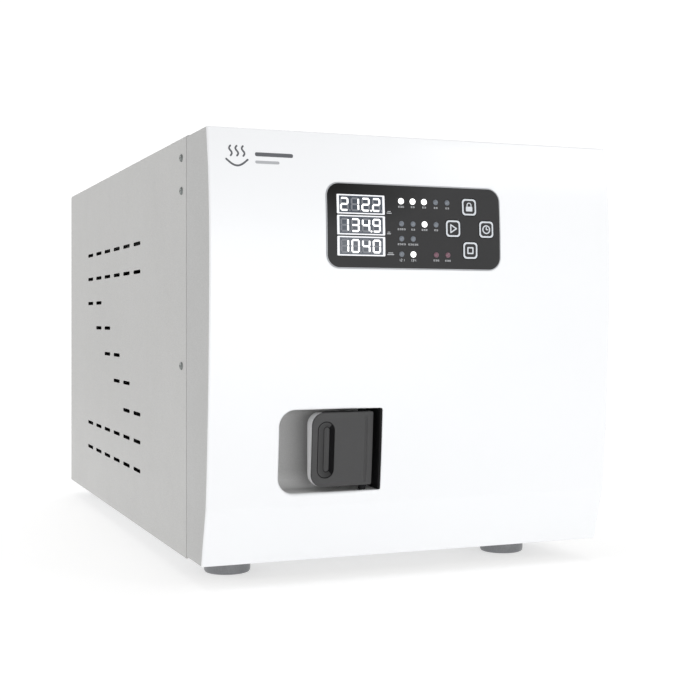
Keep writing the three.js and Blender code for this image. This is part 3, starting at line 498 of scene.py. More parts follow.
def door_shell():
    s = Skin()
    RC, RF = 1.7, 1.5
    slope0 = float((depth(21.6) - depth(21.5)) / 0.1)
    slope1 = float((depth(438.5) - depth(438.4)) / 0.1)
    c0 = corner((-1, 0), (face_y(DOOR_Z0), DOOR_Z0), (-slope0, 1), RC, 5)
    c1 = corner((-slope1, 1), (face_y(DOOR_Z1), DOOR_Z1), (1, 0), RC, 5)
    za, zb = float(c0[-1][0][1]), float(c1[0][0][1])
    ZL = door_levels(za, zb)
    XS = sorted(list(np.linspace(-HW + RF, HW - RF, 37)) + [211.8, 212.1])
    # bottom and top strips with their rounded corners
    low = [((y, DOOR_Z0), (0, -1)) for y in np.linspace(DOOR_BACK, c0[0][0][0], 6)[:-1]] + [(tuple(p), tuple(n)) for p, n in c0]
    top = [(tuple(p), tuple(n)) for p, n in c1] + [((y, DOOR_Z1), (0, 1)) for y in np.linspace(c1[-1][0][0], DOOR_BACK, 6)[1:]]

    def rear(x, y):
        return -303.2 if (x > 212 and y > -303.2) else y

    for path in (low, top):
        for a, b, m in ((0, 6, 1), (5, 11, 0)) if path is low else ((0, 6, 0), (5, 11, 1)):
            P = [[(x, rear(x, p[0]), p[1]) for x in XS] for p, n in path[a:b]]
            s.grid(P, [[(0, n[0], n[1]) for x in XS] for p, n in path[a:b]], m)
    # front sheet
    pocket = rrect(*POCKET[:4], [POCKET[4], 2.0, 2.0, POCKET[4]], 10, step=6)
    PO = np.array(pocket)
    pn, pk = out_normals(pocket)
    lr = lip_radius(PO[:, 0])
    hole_pocket = PO + pn * (pk * lr)[:, None]
    px0, px1, pz0, pz1, pr = PANEL
    panel = rrect(px0 - 0.4, px1 + 0.4, pz0 - 0.4, pz1 + 0.4, pr + 0.4, 10, step=8)
    RP = 0.8
    hole_panel = offset(panel, RP)
    outer = [(x, za) for x in XS] + [(XS[-1], z) for z in ZL[1:-1]] + [(x, zb) for x in reversed(XS)] + [(XS[0], z) for z in reversed(ZL[1:-1])]
    extra = []
    ph, qh = offset(pocket, 8.5), offset(panel, 4)
    g = np.array([(x, z) for z in ZL[1:-1] for x in XS[1:-1]])
    keep = ~inside(g, ph) & ~inside(g, qh)
    extra = [tuple(p) for p in g[keep]]
    V, F = cdt(outer, [hole_pocket, hole_panel], extra)
    Y = face_y(V[:, 1])
    NN = face_n(V[:, 1])
    P3 = np.stack([V[:, 0], Y, V[:, 1]], 1)
    for f in F:
        s.face([P3[i] for i in f], [NN[i] for i in f])
    # soft lip of the handle pocket
    seg = 8
    rows, nrm = [], []
    for i in range(seg + 1):
        a = math.pi / 2 * i / seg
        q = PO + pn * (pk * lr * (1 - math.sin(a)))[:, None]
        d = lr * (1 - math.cos(a))
        rows.append([(q[j, 0], float(face_y(q[j, 1], d[j])), q[j, 1]) for j in range(len(q))])
        fnm = face_n(q[:, 1])
        nn = fnm * math.cos(a) - np.stack([pn[:, 0], np.zeros(len(q)), pn[:, 1]], 1) * math.sin(a)
        nrm.append(nn / np.linalg.norm(nn, axis=1)[:, None])
    rows.append([(PO[j, 0], float(face_y(PO[j, 1], 4.4)), PO[j, 1]) for j in range(len(PO))])
    nrm.append(nrm[-1])
    s.grid(rows, nrm, ring=True)
    # panel recess
    PA = np.array(panel)
    an, ak = out_normals(panel)
    rows, nrm = [], []
    for i in range(5):
        a = math.pi / 2 * i / 4
        q = PA + an * (ak * RP * (1 - math.sin(a)))[:, None]
        rows.append([(q[j, 0], float(face_y(q[j, 1], RP * (1 - math.cos(a)))), q[j, 1]) for j in range(len(q))])
        nn = face_n(q[:, 1]) * math.cos(a) - np.stack([an[:, 0], np.zeros(len(q)), an[:, 1]], 1) * math.sin(a)
        nrm.append(nn)
    rows.append([(q[j, 0], float(face_y(q[j, 1], 1.5)), q[j, 1]) for j in range(len(q))])
    nrm.append(nrm[-1])
    s.grid(rows, nrm, ring=True)
    qi = offset(panel, -5)
    floor = [rows[-1], [(qi[j, 0], float(face_y(qi[j, 1], 1.5)), qi[j, 1]) for j in range(len(qi))]]
    s.grid(floor, None, ring=True)
    # rounded side edges and side walls
    path = low[:-1] + [((float(face_y(z)), z), (fn(z)[1], fn(z)[2])) for z in ZL] + top[1:]
    for side in (-1, 1):
        P, N = [], []
        for i in range(6):
            a = math.pi / 2 * i / 5
            row, rn = [], []
            for (p, n) in path:
                y, z = p[0] - n[0] * RF * (1 - math.cos(a)), p[1] - n[1] * RF * (1 - math.cos(a))
                x = side * (HW - RF * (1 - math.sin(a)))
                row.append((x, rear(x, y), z))
                rn.append((side * math.sin(a), n[0] * math.cos(a), n[1] * math.cos(a)))
            P.append(row)
            N.append(rn)
        k = len(path) - 1
        s.grid(P, N, flip=side > 0, cols=[1 if (j < 5 or j >= k - 5) else 0 for j in range(k)])
        edge = [(q[1], q[2]) for q in P[-1]]
        if side > 0:
            for lo_, hi_ in ((312, 368), (72, 128)):
                edge += [(-303.2, hi_), (-312.5, hi_), (-312.5, lo_), (-303.2, lo_)]
        poly = edge if side < 0 else edge
        V, F = cdt(poly[::-1] if side else poly)
        for f in F:
            pts = [(side * HW, V[i][0], V[i][1]) for i in f]
            if side < 0:
                pts.reverse()
            s.face(pts, [(side, 0, 0)] * 3, 1)

    def inner(A):
        B = A.copy()
        B[:, 0] = np.clip(A[:, 0], -215.5, 215.5)
        B[:, 2] = np.clip(A[:, 2], 24.3, 435.7)
        B[:, 1] = np.maximum(A[:, 1], face_y(B[:, 2], 5.0))
        return B

    return finish_piece(s.make("door_shell", ["door_white", "door_side"], inner), "door", "door_cover", slot="door_white")


# ------------------------------------------------------------------ handle pocket and lever
def pocket_cup():
    s = Skin()
    x0, x1, z0, z1, r = POCKET
    FL, RB = -337.0, 9.0

    def ring(d):
        a, b = max(0.6, r - d), max(0.6, 2.2 - d)
        return np.array(rloop(x0 - 0.2 + d, x1 + 0.2 - d, z0 - 0.2 + d, z1 + 0.2 - d, [a, b, b, a]))

    P0 = ring(0)
    n0, _ = out_normals(P0)
    fl = ring(-4)
    s.grid([[(a, float(face_y(b, 5.6)), b) for a, b in fl], [(a, float(face_y(b, 5.6)), b) for a, b in P0]], [[fn(b) for a, b in fl], [fn(b) for a, b in P0]], ring=True)
    rows, nrm = [], []
    for t in np.linspace(0, 1, 6):
        q = ring(1.2 * t)
        rows.append([(q[j, 0], float(face_y(P0[j, 1], 5.6)) * (1 - t) + (FL - RB) * t, q[j, 1]) for j in range(len(q))])
        nrm.append([(-n0[j, 0], 0, -n0[j, 1]) for j in range(len(q))])
    for i in range(1, 9):
        a = math.pi / 2 * i / 8
        q = ring(1.2 + RB * (1 - math.cos(a)))
        rows.append([(q[j, 0], FL - RB + RB * math.sin(a), q[j, 1]) for j in range(len(q))])
        nrm.append([(-n0[j, 0] * math.cos(a), -math.sin(a), -n0[j, 1] * math.cos(a)) for j in range(len(q))])
    s.grid(rows, nrm, ring=True)
    V, F = cdt([(p[0], p[2]) for p in rows[-1]])
    for f in F:
        s.face([(V[i][0], FL, V[i][1]) for i in f], [(0, -1, 0)] * 3)

    def inner(A):
        B = A.copy()
        B[:, 1] = A[:, 1] + 1.6
        B[:, 0] += np.where(A[:, 0] < (x0 + x1) / 2, -1.6, 1.6) * (A[:, 1] < FL - 0.1)
        B[:, 2] += np.where(A[:, 2] < (z0 + z1) / 2, -1.6, 1.6) * (A[:, 1] < FL - 0.1)
        return B

    return finish_piece(s.make("pocket_cup", ["recess_grey"], inner), "door", "handle_recess", slot="recess_grey")


def handle_lever():
    """Pull lever: a gently sloped face with a rounded free edge, a hipped finger groove and a rolled pivot edge."""
    s = Skin()
    X0, X1, ZA, ZB, R = -114.0, -49.6, 94.2, 166.9, 12.5
    BACK = -363.5

    def fy(x, z):
        y = face_y(z, 0.9)
        x = np.asarray(x, float)
        t = np.clip((x + 56.6) / 7.0, 0, 1)
        crease = np.maximum(0, 1 - np.abs(x + 58.4) / 0.45) + np.maximum(0, 1 - np.abs(x + 56.4) / 0.45)
        return y + 0.55 * crease + 0.25 * (x > -57.4) + 1.8 * t ** 3

    outline = rrect(X0, X1, ZA, ZB, [R, 2.0, 2.0, R], 10, step=4)
    PO = np.array(outline)
    n, k = out_normals(outline)
    re = 1.4
    top_loop = PO - n * (k * re)[:, None]

    def nrm_at(x, z):
        e = 0.1
        dx = (fy(x + e, z) - fy(x - e, z)) / (2 * e)
        dz = (fy(x, z + e) - fy(x, z - e)) / (2 * e)
        v = np.array([float(dx), -1.0, float(dz)])
        return v / np.linalg.norm(v)

    gx, gz, gw, gh = -99.3, 130.3, 17.4, 55.4
    groove = rrect(gx - gw / 2, gx + gw / 2, gz - gh / 2, gz + gh / 2, gw / 2 * 0.999, 12, step=4)
    G = np.array(groove)
    g_out = offset(groove, 0.5)
    ex = [(x, z) for z in np.arange(ZA + 5, ZB - 4, 6.0) for x in list(np.arange(X0 + 5, -61, 6.0)) + [-59.5, -58.85, -58.4, -57.95, -57.45, -57.35, -56.85, -56.4, -55.95, -54.5, -53, -51.6]]
    ex = np.array(ex)
    keep = ~inside(ex, offset(groove, 2.5)) & inside(ex, offset(outline, -3.5))
    V, F = cdt([tuple(p) for p in top_loop], [g_out], [tuple(p) for p in ex[keep]])
    for f in F:
        s.face([(V[i][0], float(fy(V[i][0], V[i][1])), V[i][1]) for i in f], [nrm_at(*V[i]) for i in f])
    # rounded rim of the lever and its skirt
    rows, nn = [], []
    for i in range(6):
        a = math.pi / 2 * i / 5
        q = PO - n * (k * re * (1 - math.sin(a)))[:, None]
        rows.append([(q[j, 0], float(fy(top_loop[j, 0], q[j, 1])) + re * (1 - math.cos(a)), q[j, 1]) for j in range(len(q))])
        nn.append([(n[j, 0] * math.sin(a), -math.cos(a), n[j, 1] * math.sin(a)) for j in range(len(q))])
    s.grid(rows, nn, ring=True, flip=True)
    side = [rows[-1]]
    sn = [nn[-1]]
    for t in (0.5, 1.0):
        side.append([(rows[-1][j][0], rows[-1][j][1] * (1 - t) + (BACK - 1.0) * t, rows[-1][j][2]) for j in range(len(PO))])
        sn.append(nn[-1])
    # Side walls that face left take the light grey: painted highlight on the lit side.
    s.grid(side, sn, ring=True, flip=True, cols=[1 if v[0] < -0.06 else 0 for v in n])
    q = PO - n * (k * 1.0)[:, None]
    s.grid([side[-1], [(q[j, 0], BACK, q[j, 1]) for j in range(len(PO))]], None, ring=True, flip=True)
    V, F = cdt([tuple(p) for p in q])
    for f in F:
        s.face([(V[i][0], BACK, V[i][1]) for i in reversed(f)], [(0, 1, 0)] * 3)
    # groove: a thin outline channel, then a long slope down to an off-centre trough with a steep inner wall. The
    # channel, the band round the trough and the steep right-hand wall are near-black, painted shade.
    half, tw, tx = gh / 2 - gw / 2, 6.0, gx + 2.3
    rows = []
    for d, dep in ((0.5, 0.0), (0.15, 0.15), (0.0, 0.5), (-0.1, 1.5), (-0.65, 1.5), (-0.75, 0.7)):
        q = offset(groove, d)
        rows.append([(q[j, 0], float(fy(q[j, 0], q[j, 1])) + dep, q[j, 1]) for j in range(len(q))])
    for a, m in enumerate((0, 0, 2, 2, 2)):
        s.grid([rows[a], rows[a + 1]], None, m, ring=True)

    def trough(w, dep):
        out = []
        for x, z in groove:
            over = z - min(max(z, gz - half), gz + half)
            zz = z - over + over * w / gw
            xx = tx + (x - gx) * w / gw
            out.append((xx, float(fy(gx, zz)) + dep, zz))
        return out

    # Mask of the groove's right-hand wall, which is painted near-black as shade.
    wall = [1 if p[0] > gx + gw * 0.36 else 0 for p in groove]
    slope = [rows[-1], trough(tw + 0.7, 4.7), trough(tw, 5.1), trough(tw - 0.5, 5.1), trough(tw - 1.0, 4.9)]
    for a, m in enumerate((0, 2, 2, 0)):
        s.grid([slope[a], slope[a + 1]], None, ring=True, cols=[2 if (a == 0 and w) else m for w in wall])
    inner = slope[-1]
    med = []
    for (x, y, z) in inner:
        zz = round(min(max(z, gz - half), gz + half), 3)
        med.append((tx, float(fy(gx, zz)) + 5.3, zz))
    for j in range(len(inner)):
        m_ = (j + 1) % len(inner)
        s.face([inner[j], inner[m_], med[m_], med[j]])
    o = finish_piece(s.make("handle_lever_shell", ["handle_charcoal", "lever_edge", "gap_dark"]), "handle", "handle_lever", slot="handle_charcoal")
    # pivot barrel at the lever's back edge, coloured near-black as painted shade in the gap beside the lever
    b = Skin()
    cx, cy = -58.0, -368.0
    seg = 28
    prof = [(0.0, 89.6), (3.4, 89.6), (3.6, 90), (3.6, 95.2), (4.6, 95.4), (5.2, 96.2), (5.2, 164.9), (4.6, 165.7), (3.6, 165.9), (3.6, 169), (3.4, 169.4), (0.0, 169.4)]
    lathe(b, prof, ("z", cx, cy), seg)
    finish_piece(b.make("handle_pivot_barrel", ["gap_dark"]), "handle", slot="handle_charcoal")
    return o


def gap_shade_sheets():
    """Near-black sheets put where there is only shade: one in the deep gap on the pivot side of the pocket, and a thin
    ring in the door seam.
    """
    s = Skin()
    # Near-black slab in the gap beside the pivot: painted shade.
    slab(s, dense(rrect(-43.4, -41.15, 89.3, 169.7, 0.4, 3), 5), (), 0.5, 38.0)
    finish_piece(s.make("pocket_gap_shade", ["gap_dark"]), "door", slot="black_plastic")
    s = Skin()
    # Near-black ring behind the door seam: painted shade in the gap.
    outer, hole = dense(rrect(-217.3, 217.3, 20.8, 439.2, 2.6, 5), 60), dense(rrect(-216.1, 216.1, 22.0, 438.0, 1.6, 5), 60)
    V, F = cdt(outer, [hole])
    for f in F:
        s.face([(V[i][0], -300.3, V[i][1]) for i in f], [(0, -1, 0)] * 3)

    def inner(A):
        B = A.copy()
        B[:, 1] = -299.2
        return B

    finish_piece(s.make("seam_gap_shade", ["gap_dark"], inner), "cabinet", slot="silicone")


def lathe(s, prof, where, seg=48, m=0, smooth=40.0):
    """A closed body turned from [radius, along] points about an axis. where is (axis, a, b): the other two coordinates in x, y, z order."""
    axis, ca, cb = where
    P = np.asarray(prof, float)
    cl = P[0][0] > 1e-6
    pts = list(map(tuple, P)) + ([tuple(P[0])] if cl else [])
    seg_n = []
    for (r0, h0), (r1, h1) in zip(pts, pts[1:]):
        d = np.array([r1 - r0, h1 - h0])
        d /= max(1e-9, np.linalg.norm(d))
        seg_n.append(np.array([d[1], -d[0]]))
    area = sum(p[0] * q[1] - q[0] * p[1] for p, q in zip(pts, pts[1:] + pts[:1]))
    sign = 1 if area > 0 else -1
    cs = math.cos(math.radians(smooth))

    def place(r, h, a):
        u, v = r * math.cos(a), r * math.sin(a)
        if axis == "z":
            return (ca + u, cb + v, h)
        if axis == "y":
            return (ca + u, h, cb - v)
        return (h, ca + u, cb + v)

    def dirn(nr, nh, a):
        u, v = nr * math.cos(a), nr * math.sin(a)
        if axis == "z":
            return (u, v, nh)
        if axis == "y":
            return (u, nh, -v)
        return (nh, u, v)

    n = len(seg_n)
    for i in range(n):
        (r0, h0), (r1, h1) = pts[i], pts[i + 1]
        nn = seg_n[i]
        prev = seg_n[i - 1] if (i > 0 or cl) else nn
        nxt = seg_n[(i + 1) % n] if (i < n - 1 or cl) else nn
        n0 = (nn + prev) if nn @ prev > cs else nn
        n1 = (nn + nxt) if nn @ nxt > cs else nn
        n0, n1 = n0 / np.linalg.norm(n0) * sign, n1 / np.linalg.norm(n1) * sign
        for k in range(seg):
            a, b = 2 * math.pi * k / seg, 2 * math.pi * (k + 1) / seg
            pts4 = [place(r0, h0, a), place(r0, h0, b), place(r1, h1, b), place(r1, h1, a)]
            nr4 = [dirn(*n0, a), dirn(*n0, b), dirn(*n1, b), dirn(*n1, a)]
            if sign < 0:
                pts4.reverse()
                nr4.reverse()
            s.face(pts4, nr4, m)


def box(s, x0, x1, y0, y1, z0, z1, r=0.6, m=0, seg=2):
    """A block with rounded edges: each face flat, edges and corners turned."""
    r = min(r, (x1 - x0) / 2.01, (y1 - y0) / 2.01, (z1 - z0) / 2.01)
    lo_, hi_ = np.array([x0, y0, z0]) + r, np.array([x1, y1, z1]) - r
    t = np.tan(np.linspace(-math.pi / 4, math.pi / 4, 2 * seg + 1))
    for ax in range(3):
        u, v = (ax + 1) % 3, (ax + 2) % 3
        for sg in (-1, 1):
            P, N = [], []
            for a in t:
                pr, nr = [], []
                for b in t:
                    d = np.zeros(3)
                    d[ax], d[u], d[v] = sg, a, b
                    d /= np.linalg.norm(d)
                    base = np.zeros(3)
                    base[ax] = hi_[ax] if sg > 0 else lo_[ax]
                    base[u] = hi_[u] if a > 1e-9 else (lo_[u] if a < -1e-9 else 0)
                    base[v] = hi_[v] if b > 1e-9 else (lo_[v] if b < -1e-9 else 0)
                    pr.append((base, d, a, b))
                P.append(pr)
            # split the middle line into two so that the flat stays flat
            rows = []
            for i, pr in enumerate(P):
                row = []
                for (base, d, a, b) in pr:
                    if abs(b) < 1e-9:
                        for q in (lo_[v], hi_[v]):
                            bb = base.copy(); bb[v] = q
                            row.append((bb, d, a))
                    else:
                        row.append((base, d, a))
                if abs(P[i][0][2]) < 1e-9:
                    for q in (lo_[u], hi_[u]):
                        rr_ = []
                        for (bb, d, a) in row:
                            b2 = bb.copy(); b2[u] = q
                            rr_.append((b2, d))
                        rows.append(rr_)
                else:
                    rows.append([(bb, d) for (bb, d, a) in row])
            PP = [[tuple(bb + d * r) for bb, d in row] for row in rows]
            NN = [[tuple(d) for bb, d in row] for row in rows]
            s.grid(PP, NN, m, flip=sg > 0)


def slab(s, outer, holes=(), front=-0.2, back=1.0, m=0, wall_m=None, top=None, extra=()):
    """A closed plate that follows the door's face, between two insets from it. Outline in x, z."""
    V, F = cdt(outer, holes, extra)
    for f in F:
        s.face([fp(*V[i], front) for i in f], [fn(V[i][1]) for i in f], m)
        s.face([fp(*V[i], back) for i in reversed(f)], None, m)
    for loop, sg in [(outer, 1), *[(h, -1) for h in holes]]:
        n, k = out_normals(loop)
        L = len(loop)
        for i in range(L):
            j = (i + 1) % L
            a, b = loop[i], loop[j]
            q = [fp(*a, back), fp(*b, back), fp(*b, front), fp(*a, front)]
            nn = [(sg * n[t][0], 0, sg * n[t][1]) for t in (i, j, j, i)]
            if sg < 0:
                q.reverse()
                nn = [nn[3], nn[2], nn[1], nn[0]]
            s.face(q, None if True else nn, m if wall_m is None else wall_m)


def dense(loop, step=4.0):
    out = []
    for p, q in zip(loop, loop[1:] + loop[:1]):
        d = math.hypot(q[0] - p[0], q[1] - p[1])
        n = max(1, int(math.ceil(d / step)))
        out += [(p[0] + (q[0] - p[0]) * i / n, p[1] + (q[1] - p[1]) * i / n) for i in range(n)]
    return out


def pad(s, loop, front, back, r, m=0, crown=0.0):
    """A closed key or lamp that follows the door's face, with a rounded top edge and a crowned top."""
    n, k = out_normals(loop)
    P = np.asarray(loop, float)
    c = P.mean(0)
    rows, nn = [[fp(*p, back) for p in P]], [[(n[j][0], 0, n[j][1]) for j in range(len(P))]]
    for i in range(5):
        a = math.pi / 2 * i / 4
        q = P - n * (k * r * (1 - math.cos(a)))[:, None]
        rows.append([fp(*q[j], front + r * (1 - math.sin(a))) for j in range(len(q))])
        f = face_n(q[:, 1])
        w = np.stack([n[:, 0], np.zeros(len(n)), n[:, 1]], 1) * math.cos(a) + f * math.sin(a)
        nn.append(w / np.linalg.norm(w, axis=1)[:, None])
    s.grid(rows, nn, m, ring=True)
    if crown:
        rows, nn = [], []
        for t in (1.0, 0.75, 0.5, 0.25):
            w = c + (q - c) * t
            rows.append([fp(*w[j], front - crown * (1 - t * t)) for j in range(len(w))])
            g = np.stack([(w - c)[:, 0], np.zeros(len(w)), (w - c)[:, 1]], 1) * 0.25 + face_n(w[:, 1])
            nn.append(g / np.linalg.norm(g, axis=1)[:, None])
        s.grid(rows, nn, m, ring=True)
        for j in range(len(q)):
            k_ = (j + 1) % len(q)
            s.face([rows[-1][j], rows[-1][k_], fp(*c, front - crown)], [nn[-1][j], nn[-1][k_], fn(c[1])], m)
    else:
        V, F = cdt([tuple(p) for p in q])
        for f_ in F:
            s.face([fp(*V[i], front) for i in f_], [fn(V[i][1]) for i in f_], m)
    V, F = cdt([tuple(p) for p in P])
    for f_ in F:
        s.face([fp(*V[i], back) for i in reversed(f_)], None, m)


def seg_digit(s, x, z, w, h, on, t=1.0, lean=0.0, front=-0.06, back=0.14, ghost=True, lit=1):
    """One seven-segment figure as rounded bars, lower left at x, z. on is the set of lit bars."""
    half = h / 2
    bars = {"a": (0, h, w, h), "b": (w, half, w, h), "c": (w, 0, w, half), "d": (0, 0, w, 0), "e": (0, 0, 0, half), "f": (0, half, 0, h), "g": (0, half, w, half)}
    for k, (x0, z0, x1, z1) in bars.items():
        if k not in on and not ghost:
            continue
        g = 0.32 * t + 0.08 * t
        if z0 == z1:
            x0, x1 = x0 + g, x1 - g
        else:
            z0, z1 = z0 + g, z1 - g
        dx, dz = x1 - x0, z1 - z0
        L = math.hypot(dx, dz)
        ux, uz = dx / L, dz / L
        px, pz = -uz * t / 2, ux * t / 2
        ext = t * 0.30
        raw = [(x0 - ux * ext, z0 - uz * ext), (x0 - px, z0 - pz), (x1 - px, z1 - pz), (x1 + ux * ext, z1 + uz * ext), (x1 + px, z1 + pz), (x0 + px, z0 + pz)]
        loop = [(x + a + lean * b, z + b) for a, b in raw]
        slab(s, loop, (), front if k in on else front + 0.03, back, lit if k in on else 2)


FIG = {"0": "abcdef", "1": "bc", "2": "abged", "3": "abgcd", "4": "fgbc", "5": "afgcd", "6": "afgecd", "7": "abc", "8": "abcdefg", "9": "abcdfg"}


def displays():
    W, H, X = 50.3, 19.0, -65.9
    for name, z, text in (("display_upper", 368.9, "212.2"), ("display_middle", 348.6, "134.9"), ("display_lower", 328.2, "1040")):
        s = Skin()
        out = rrect(X - W / 2, X + W / 2, z - H / 2, z + H / 2, 0.8, 4)
        slab(s, dense(out, 4), (), 0.1, 8.0, 0)
        inn = rrect(X - W / 2 + 2.3, X + W / 2 - 2.3, z - H / 2 + 1.25, z + H / 2 - 1.25, 0.4, 4)
        slab(s, dense(out, 4), [dense(inn, 4)], -0.55, 0.4, 3)
        dig = [c for c in text if c != "."]
        pitch, w, h = 11.2, 7.0, 11.6
        x0 = X - 1.5 * pitch - w / 2 - 0.4
        for i, c in enumerate(dig):
            seg_digit(s, x0 + i * pitch, z - h / 2, w, h, FIG[c], 1.75, 0.0)
            dot = "." in text and text.index(".") == i + 1
            slab(s, circle(x0 + i * pitch + w + 2.1, z - h / 2 + 0.0, 0.95, 14), (), -0.06 if dot else -0.03, 0.14, 1 if dot else 2)
        finish_piece(s.make(name + "_module", ["display_window", "segment_lit", "segment_off", "display_frame"]), "door", name, slot="display_window")


LED_COLS = [-22.9, -10.4, 2.1, 14.8, 27.6]
LEDS = [(0, 373.6, 1), (1, 373.6, 1), (2, 373.6, 1), (3, 373.6, 0), (4, 373.6, 0), (0, 351.3, 0), (1, 351.3, 0), (2, 351.3, 1), (3, 351.3, 0),
        (0, 336.5, 0), (1, 336.5, 0), (0, 321.2, 0), (1, 321.2, 1), (3, 321.2, 2), (4, 321.2, 2)]
KEYS = {"key_p": (33.6, 347.9), "key_t": (71.0, 347.9), "key_s": (52.7, 326.3), "key_lock": (52.1, 370.0)}


def key_loop(k, e=0.0):
    x, z = KEYS[k]
    return rrect(x - 8.3 - e, x + 8.3 + e, z - 8.7 - e, z + 8.7 + e, 4 + e, 8)


def overlay():
    s = Skin()
    px0, px1, pz0, pz1, pr = PANEL
    out = rrect(px0, px1, pz0, pz1, pr, 12)
    X, W, H = -65.9, 50.3, 19.0
    holes = [dense(rrect(X - W / 2 - 0.4, X + W / 2 + 0.4, z - H / 2 - 0.4, z + H / 2 + 0.4, 0.8, 3), 4) for z in (368.9, 348.6, 328.2)]
    holes += [dense(key_loop(k, 0.4), 4) for k in KEYS]
    slab(s, dense(out, 5), holes, -0.2, 1.2, 0)
    finish_piece(s.make("panel_overlay", ["panel_dark"]), "door", "control_overlay", slot="panel_dark")
    # pale rim along the overlay's edge: a painted highlight for light on the recess edge
    s = Skin()
    slab(s, dense([tuple(p) for p in offset(out, 0.35)], 5), [dense([tuple(p) for p in offset(out, -0.55)], 5)], -0.27, 1.2, 0)
    finish_piece(s.make("panel_rim_highlight", ["print_grey"]), "door", slot="key_print")
    # lamps
    s = Skin()
    for c, z, on in LEDS:
        pad(s, circle(LED_COLS[c], z, 3.0 if on == 1 else 2.7, 24), -0.75 if on == 1 else -0.5, 0.3, 0.3, {0: 0, 1: 1, 2: 2}[on], crown=0.35)
    finish_piece(s.make("panel_lamps", ["lamp_off", "lamp_lit", "lamp_red"]), "door", slot="display_window")
    # small captions as plain bars, and unit marks beside the windows
    s = Skin()

    def bar_(x, z, w, h):
        slab(s, rrect(x - w / 2, x + w / 2, z - h / 2, z + h / 2, min(w, h) * 0.3, 2), (), -0.26, 0.0, 0)

    for i, (c, z, on) in enumerate(LEDS):
        x = LED_COLS[c]
        if z == 321.2 and c < 2:
            for k, ch in enumerate("121" if c == 0 else "134"):
                seg_digit(s, x - 3.2 + k * 2.3, z - 7.0, 1.25, 2.3, FIG[ch], 0.42, front=-0.26, back=0.0, ghost=False, lit=0)
            continue
        n = (3, 2, 2, 2, 2, 4, 2, 3, 2, 4, 5, 0, 0, 3, 3)[i]
        for k in range(n):
            u = x + (k - (n - 1) / 2) * 2.25
            bar_(u, z - 5.0, 1.7, 0.55)
            bar_(u, z - 6.1, 1.7, 0.5)
            bar_(u + (0.55 if k % 2 else -0.5), z - 5.55, 0.5, 1.5)
    for z, w in ((368.9, 5.2), (348.6, 4.0), (328.2, 7.4)):
        bar_(-38.6 + w / 2, z - 7.6, w, 0.8)
        bar_(-38.6 + w / 2, z - 6.0, w * 0.7, 0.7)
    finish_piece(s.make("panel_prints", ["print_caption"]), "door", slot="key_print")


def stroke(s, pts, t, m=0, front=-0.42, back=0.0, closed=False):
    """A line of even thickness with round joints, as one closed plate per segment."""
    P = list(pts) + ([pts[0]] if closed else [])
    for i_, (a, b) in enumerate(zip(P, P[1:])):
        lift = 0.012 * (i_ % 3)
        d = math.hypot(b[0] - a[0], b[1] - a[1])
        ux, uz = (b[0] - a[0]) / d, (b[1] - a[1]) / d
        loop = []
        for k in range(7):
            ang = math.pi / 2 + math.pi * k / 6
            c, q = math.cos(ang) * t / 2, math.sin(ang) * t / 2
            loop.append((a[0] + ux * c - uz * q, a[1] + uz * c + ux * q))
        for k in range(7):
            ang = -math.pi / 2 + math.pi * k / 6
            c, q = math.cos(ang) * t / 2, math.sin(ang) * t / 2
            loop.append((b[0] + ux * c - uz * q, b[1] + uz * c + ux * q))
        slab(s, loop, (), front - lift, back - lift, m)


def keys():
    for k, (x, z) in KEYS.items():
        s = Skin()
        pad(s, key_loop(k, -0.05), -0.3, 3.2, 0.5, 0, crown=0.0)
        out, inn = key_loop(k, -0.45), rrect(x - 6.2, x + 6.2, z - 6.6, z + 6.6, 2.6, 6)
        slab(s, out, [inn], -0.42, 0.0, 1)
        if k == "key_p":
            stroke(s, [(x - 2.6, z - 3.9), (x - 2.6, z + 3.9), (x + 3.7, z)], 1.25, 1, closed=True)
        if k == "key_t":
            stroke(s, [(x + 3.9 * math.cos(a), z + 3.9 * math.sin(a)) for a in np.linspace(0, 2 * math.pi, 17)[:-1]], 1.2, 1, closed=True)
            stroke(s, [(x, z), (x, z + 2.5)], 1.0, 1)
            stroke(s, [(x + 0.1, z - 0.1), (x + 2.0, z - 0.1)], 1.0, 1)
        if k == "key_s":
            slab(s, rrect(x - 3.5, x + 3.5, z - 3.5, z + 3.5, 0.7, 3), [rrect(x - 2.2, x + 2.2, z - 2.2, z + 2.2, 0.4, 3)], -0.42, 0.0, 1)
        if k == "key_lock":
            slab(s, rrect(x - 3.6, x + 3.6, z - 4.2, z + 0.6, 0.6, 3), (), -0.42, 0.0, 1)
            stroke(s, [(x - 2.2, z + 0.9)] + [(x + 2.2 * math.cos(a), z + 2.2 + 2.0 * math.sin(a)) for a in np.linspace(math.pi, 0, 9)] + [(x + 2.2, z + 0.9)], 1.0, 1)
        finish_piece(s.make(k + "_cap", ["panel_dark", "print_light"]), "button_" + k[4:], k, slot="key_print")


def steam_mark():
    """A plain pictogram on the door: three rising wavy lines over a bowl, and two bars."""
    s = Skin()
    for i in range(3):
        x = -196 + i * 6.2
        stroke(s, [(x + 1.3 * math.sin(t * 2 * math.pi), 411 + 9.5 * t) for t in np.linspace(0, 1, 11)], 1.7, 0, front=-0.10, back=0.6)
    stroke(s, [(-200.5 + 21 * t, 407.6 - 6.0 * math.sin(math.pi * t)) for t in np.linspace(0, 1, 15)], 1.8, 0, front=-0.10, back=0.6)
    slab(s, rrect(-172, -134, 411.4, 415.2, 1.5, 4), (), -0.10, 0.6, 0)
    slab(s, rrect(-172, -148, 404.4, 407.2, 1.2, 4), (), -0.10, 0.6, 1)
    finish_piece(s.make("steam_mark", ["print_dark", "print_grey"]), "door", slot="panel_dark")


# ------------------------------------------------------------------ cabinet
SLOT_COLS = [218, 159, 101, 42, -16, -74]
SLOT_ROWS = [(344.5, range(6)), (312, range(6)), (279, (0, 1)), (246, (1, 2)), (213, (2, 3)), (181, (3, 4)), (148, (4, 5)), (116, range(6)), (83, range(6))]
SCREW_Z = [418.9, 385.9, 210.3]
SCREW_Y = -281.5


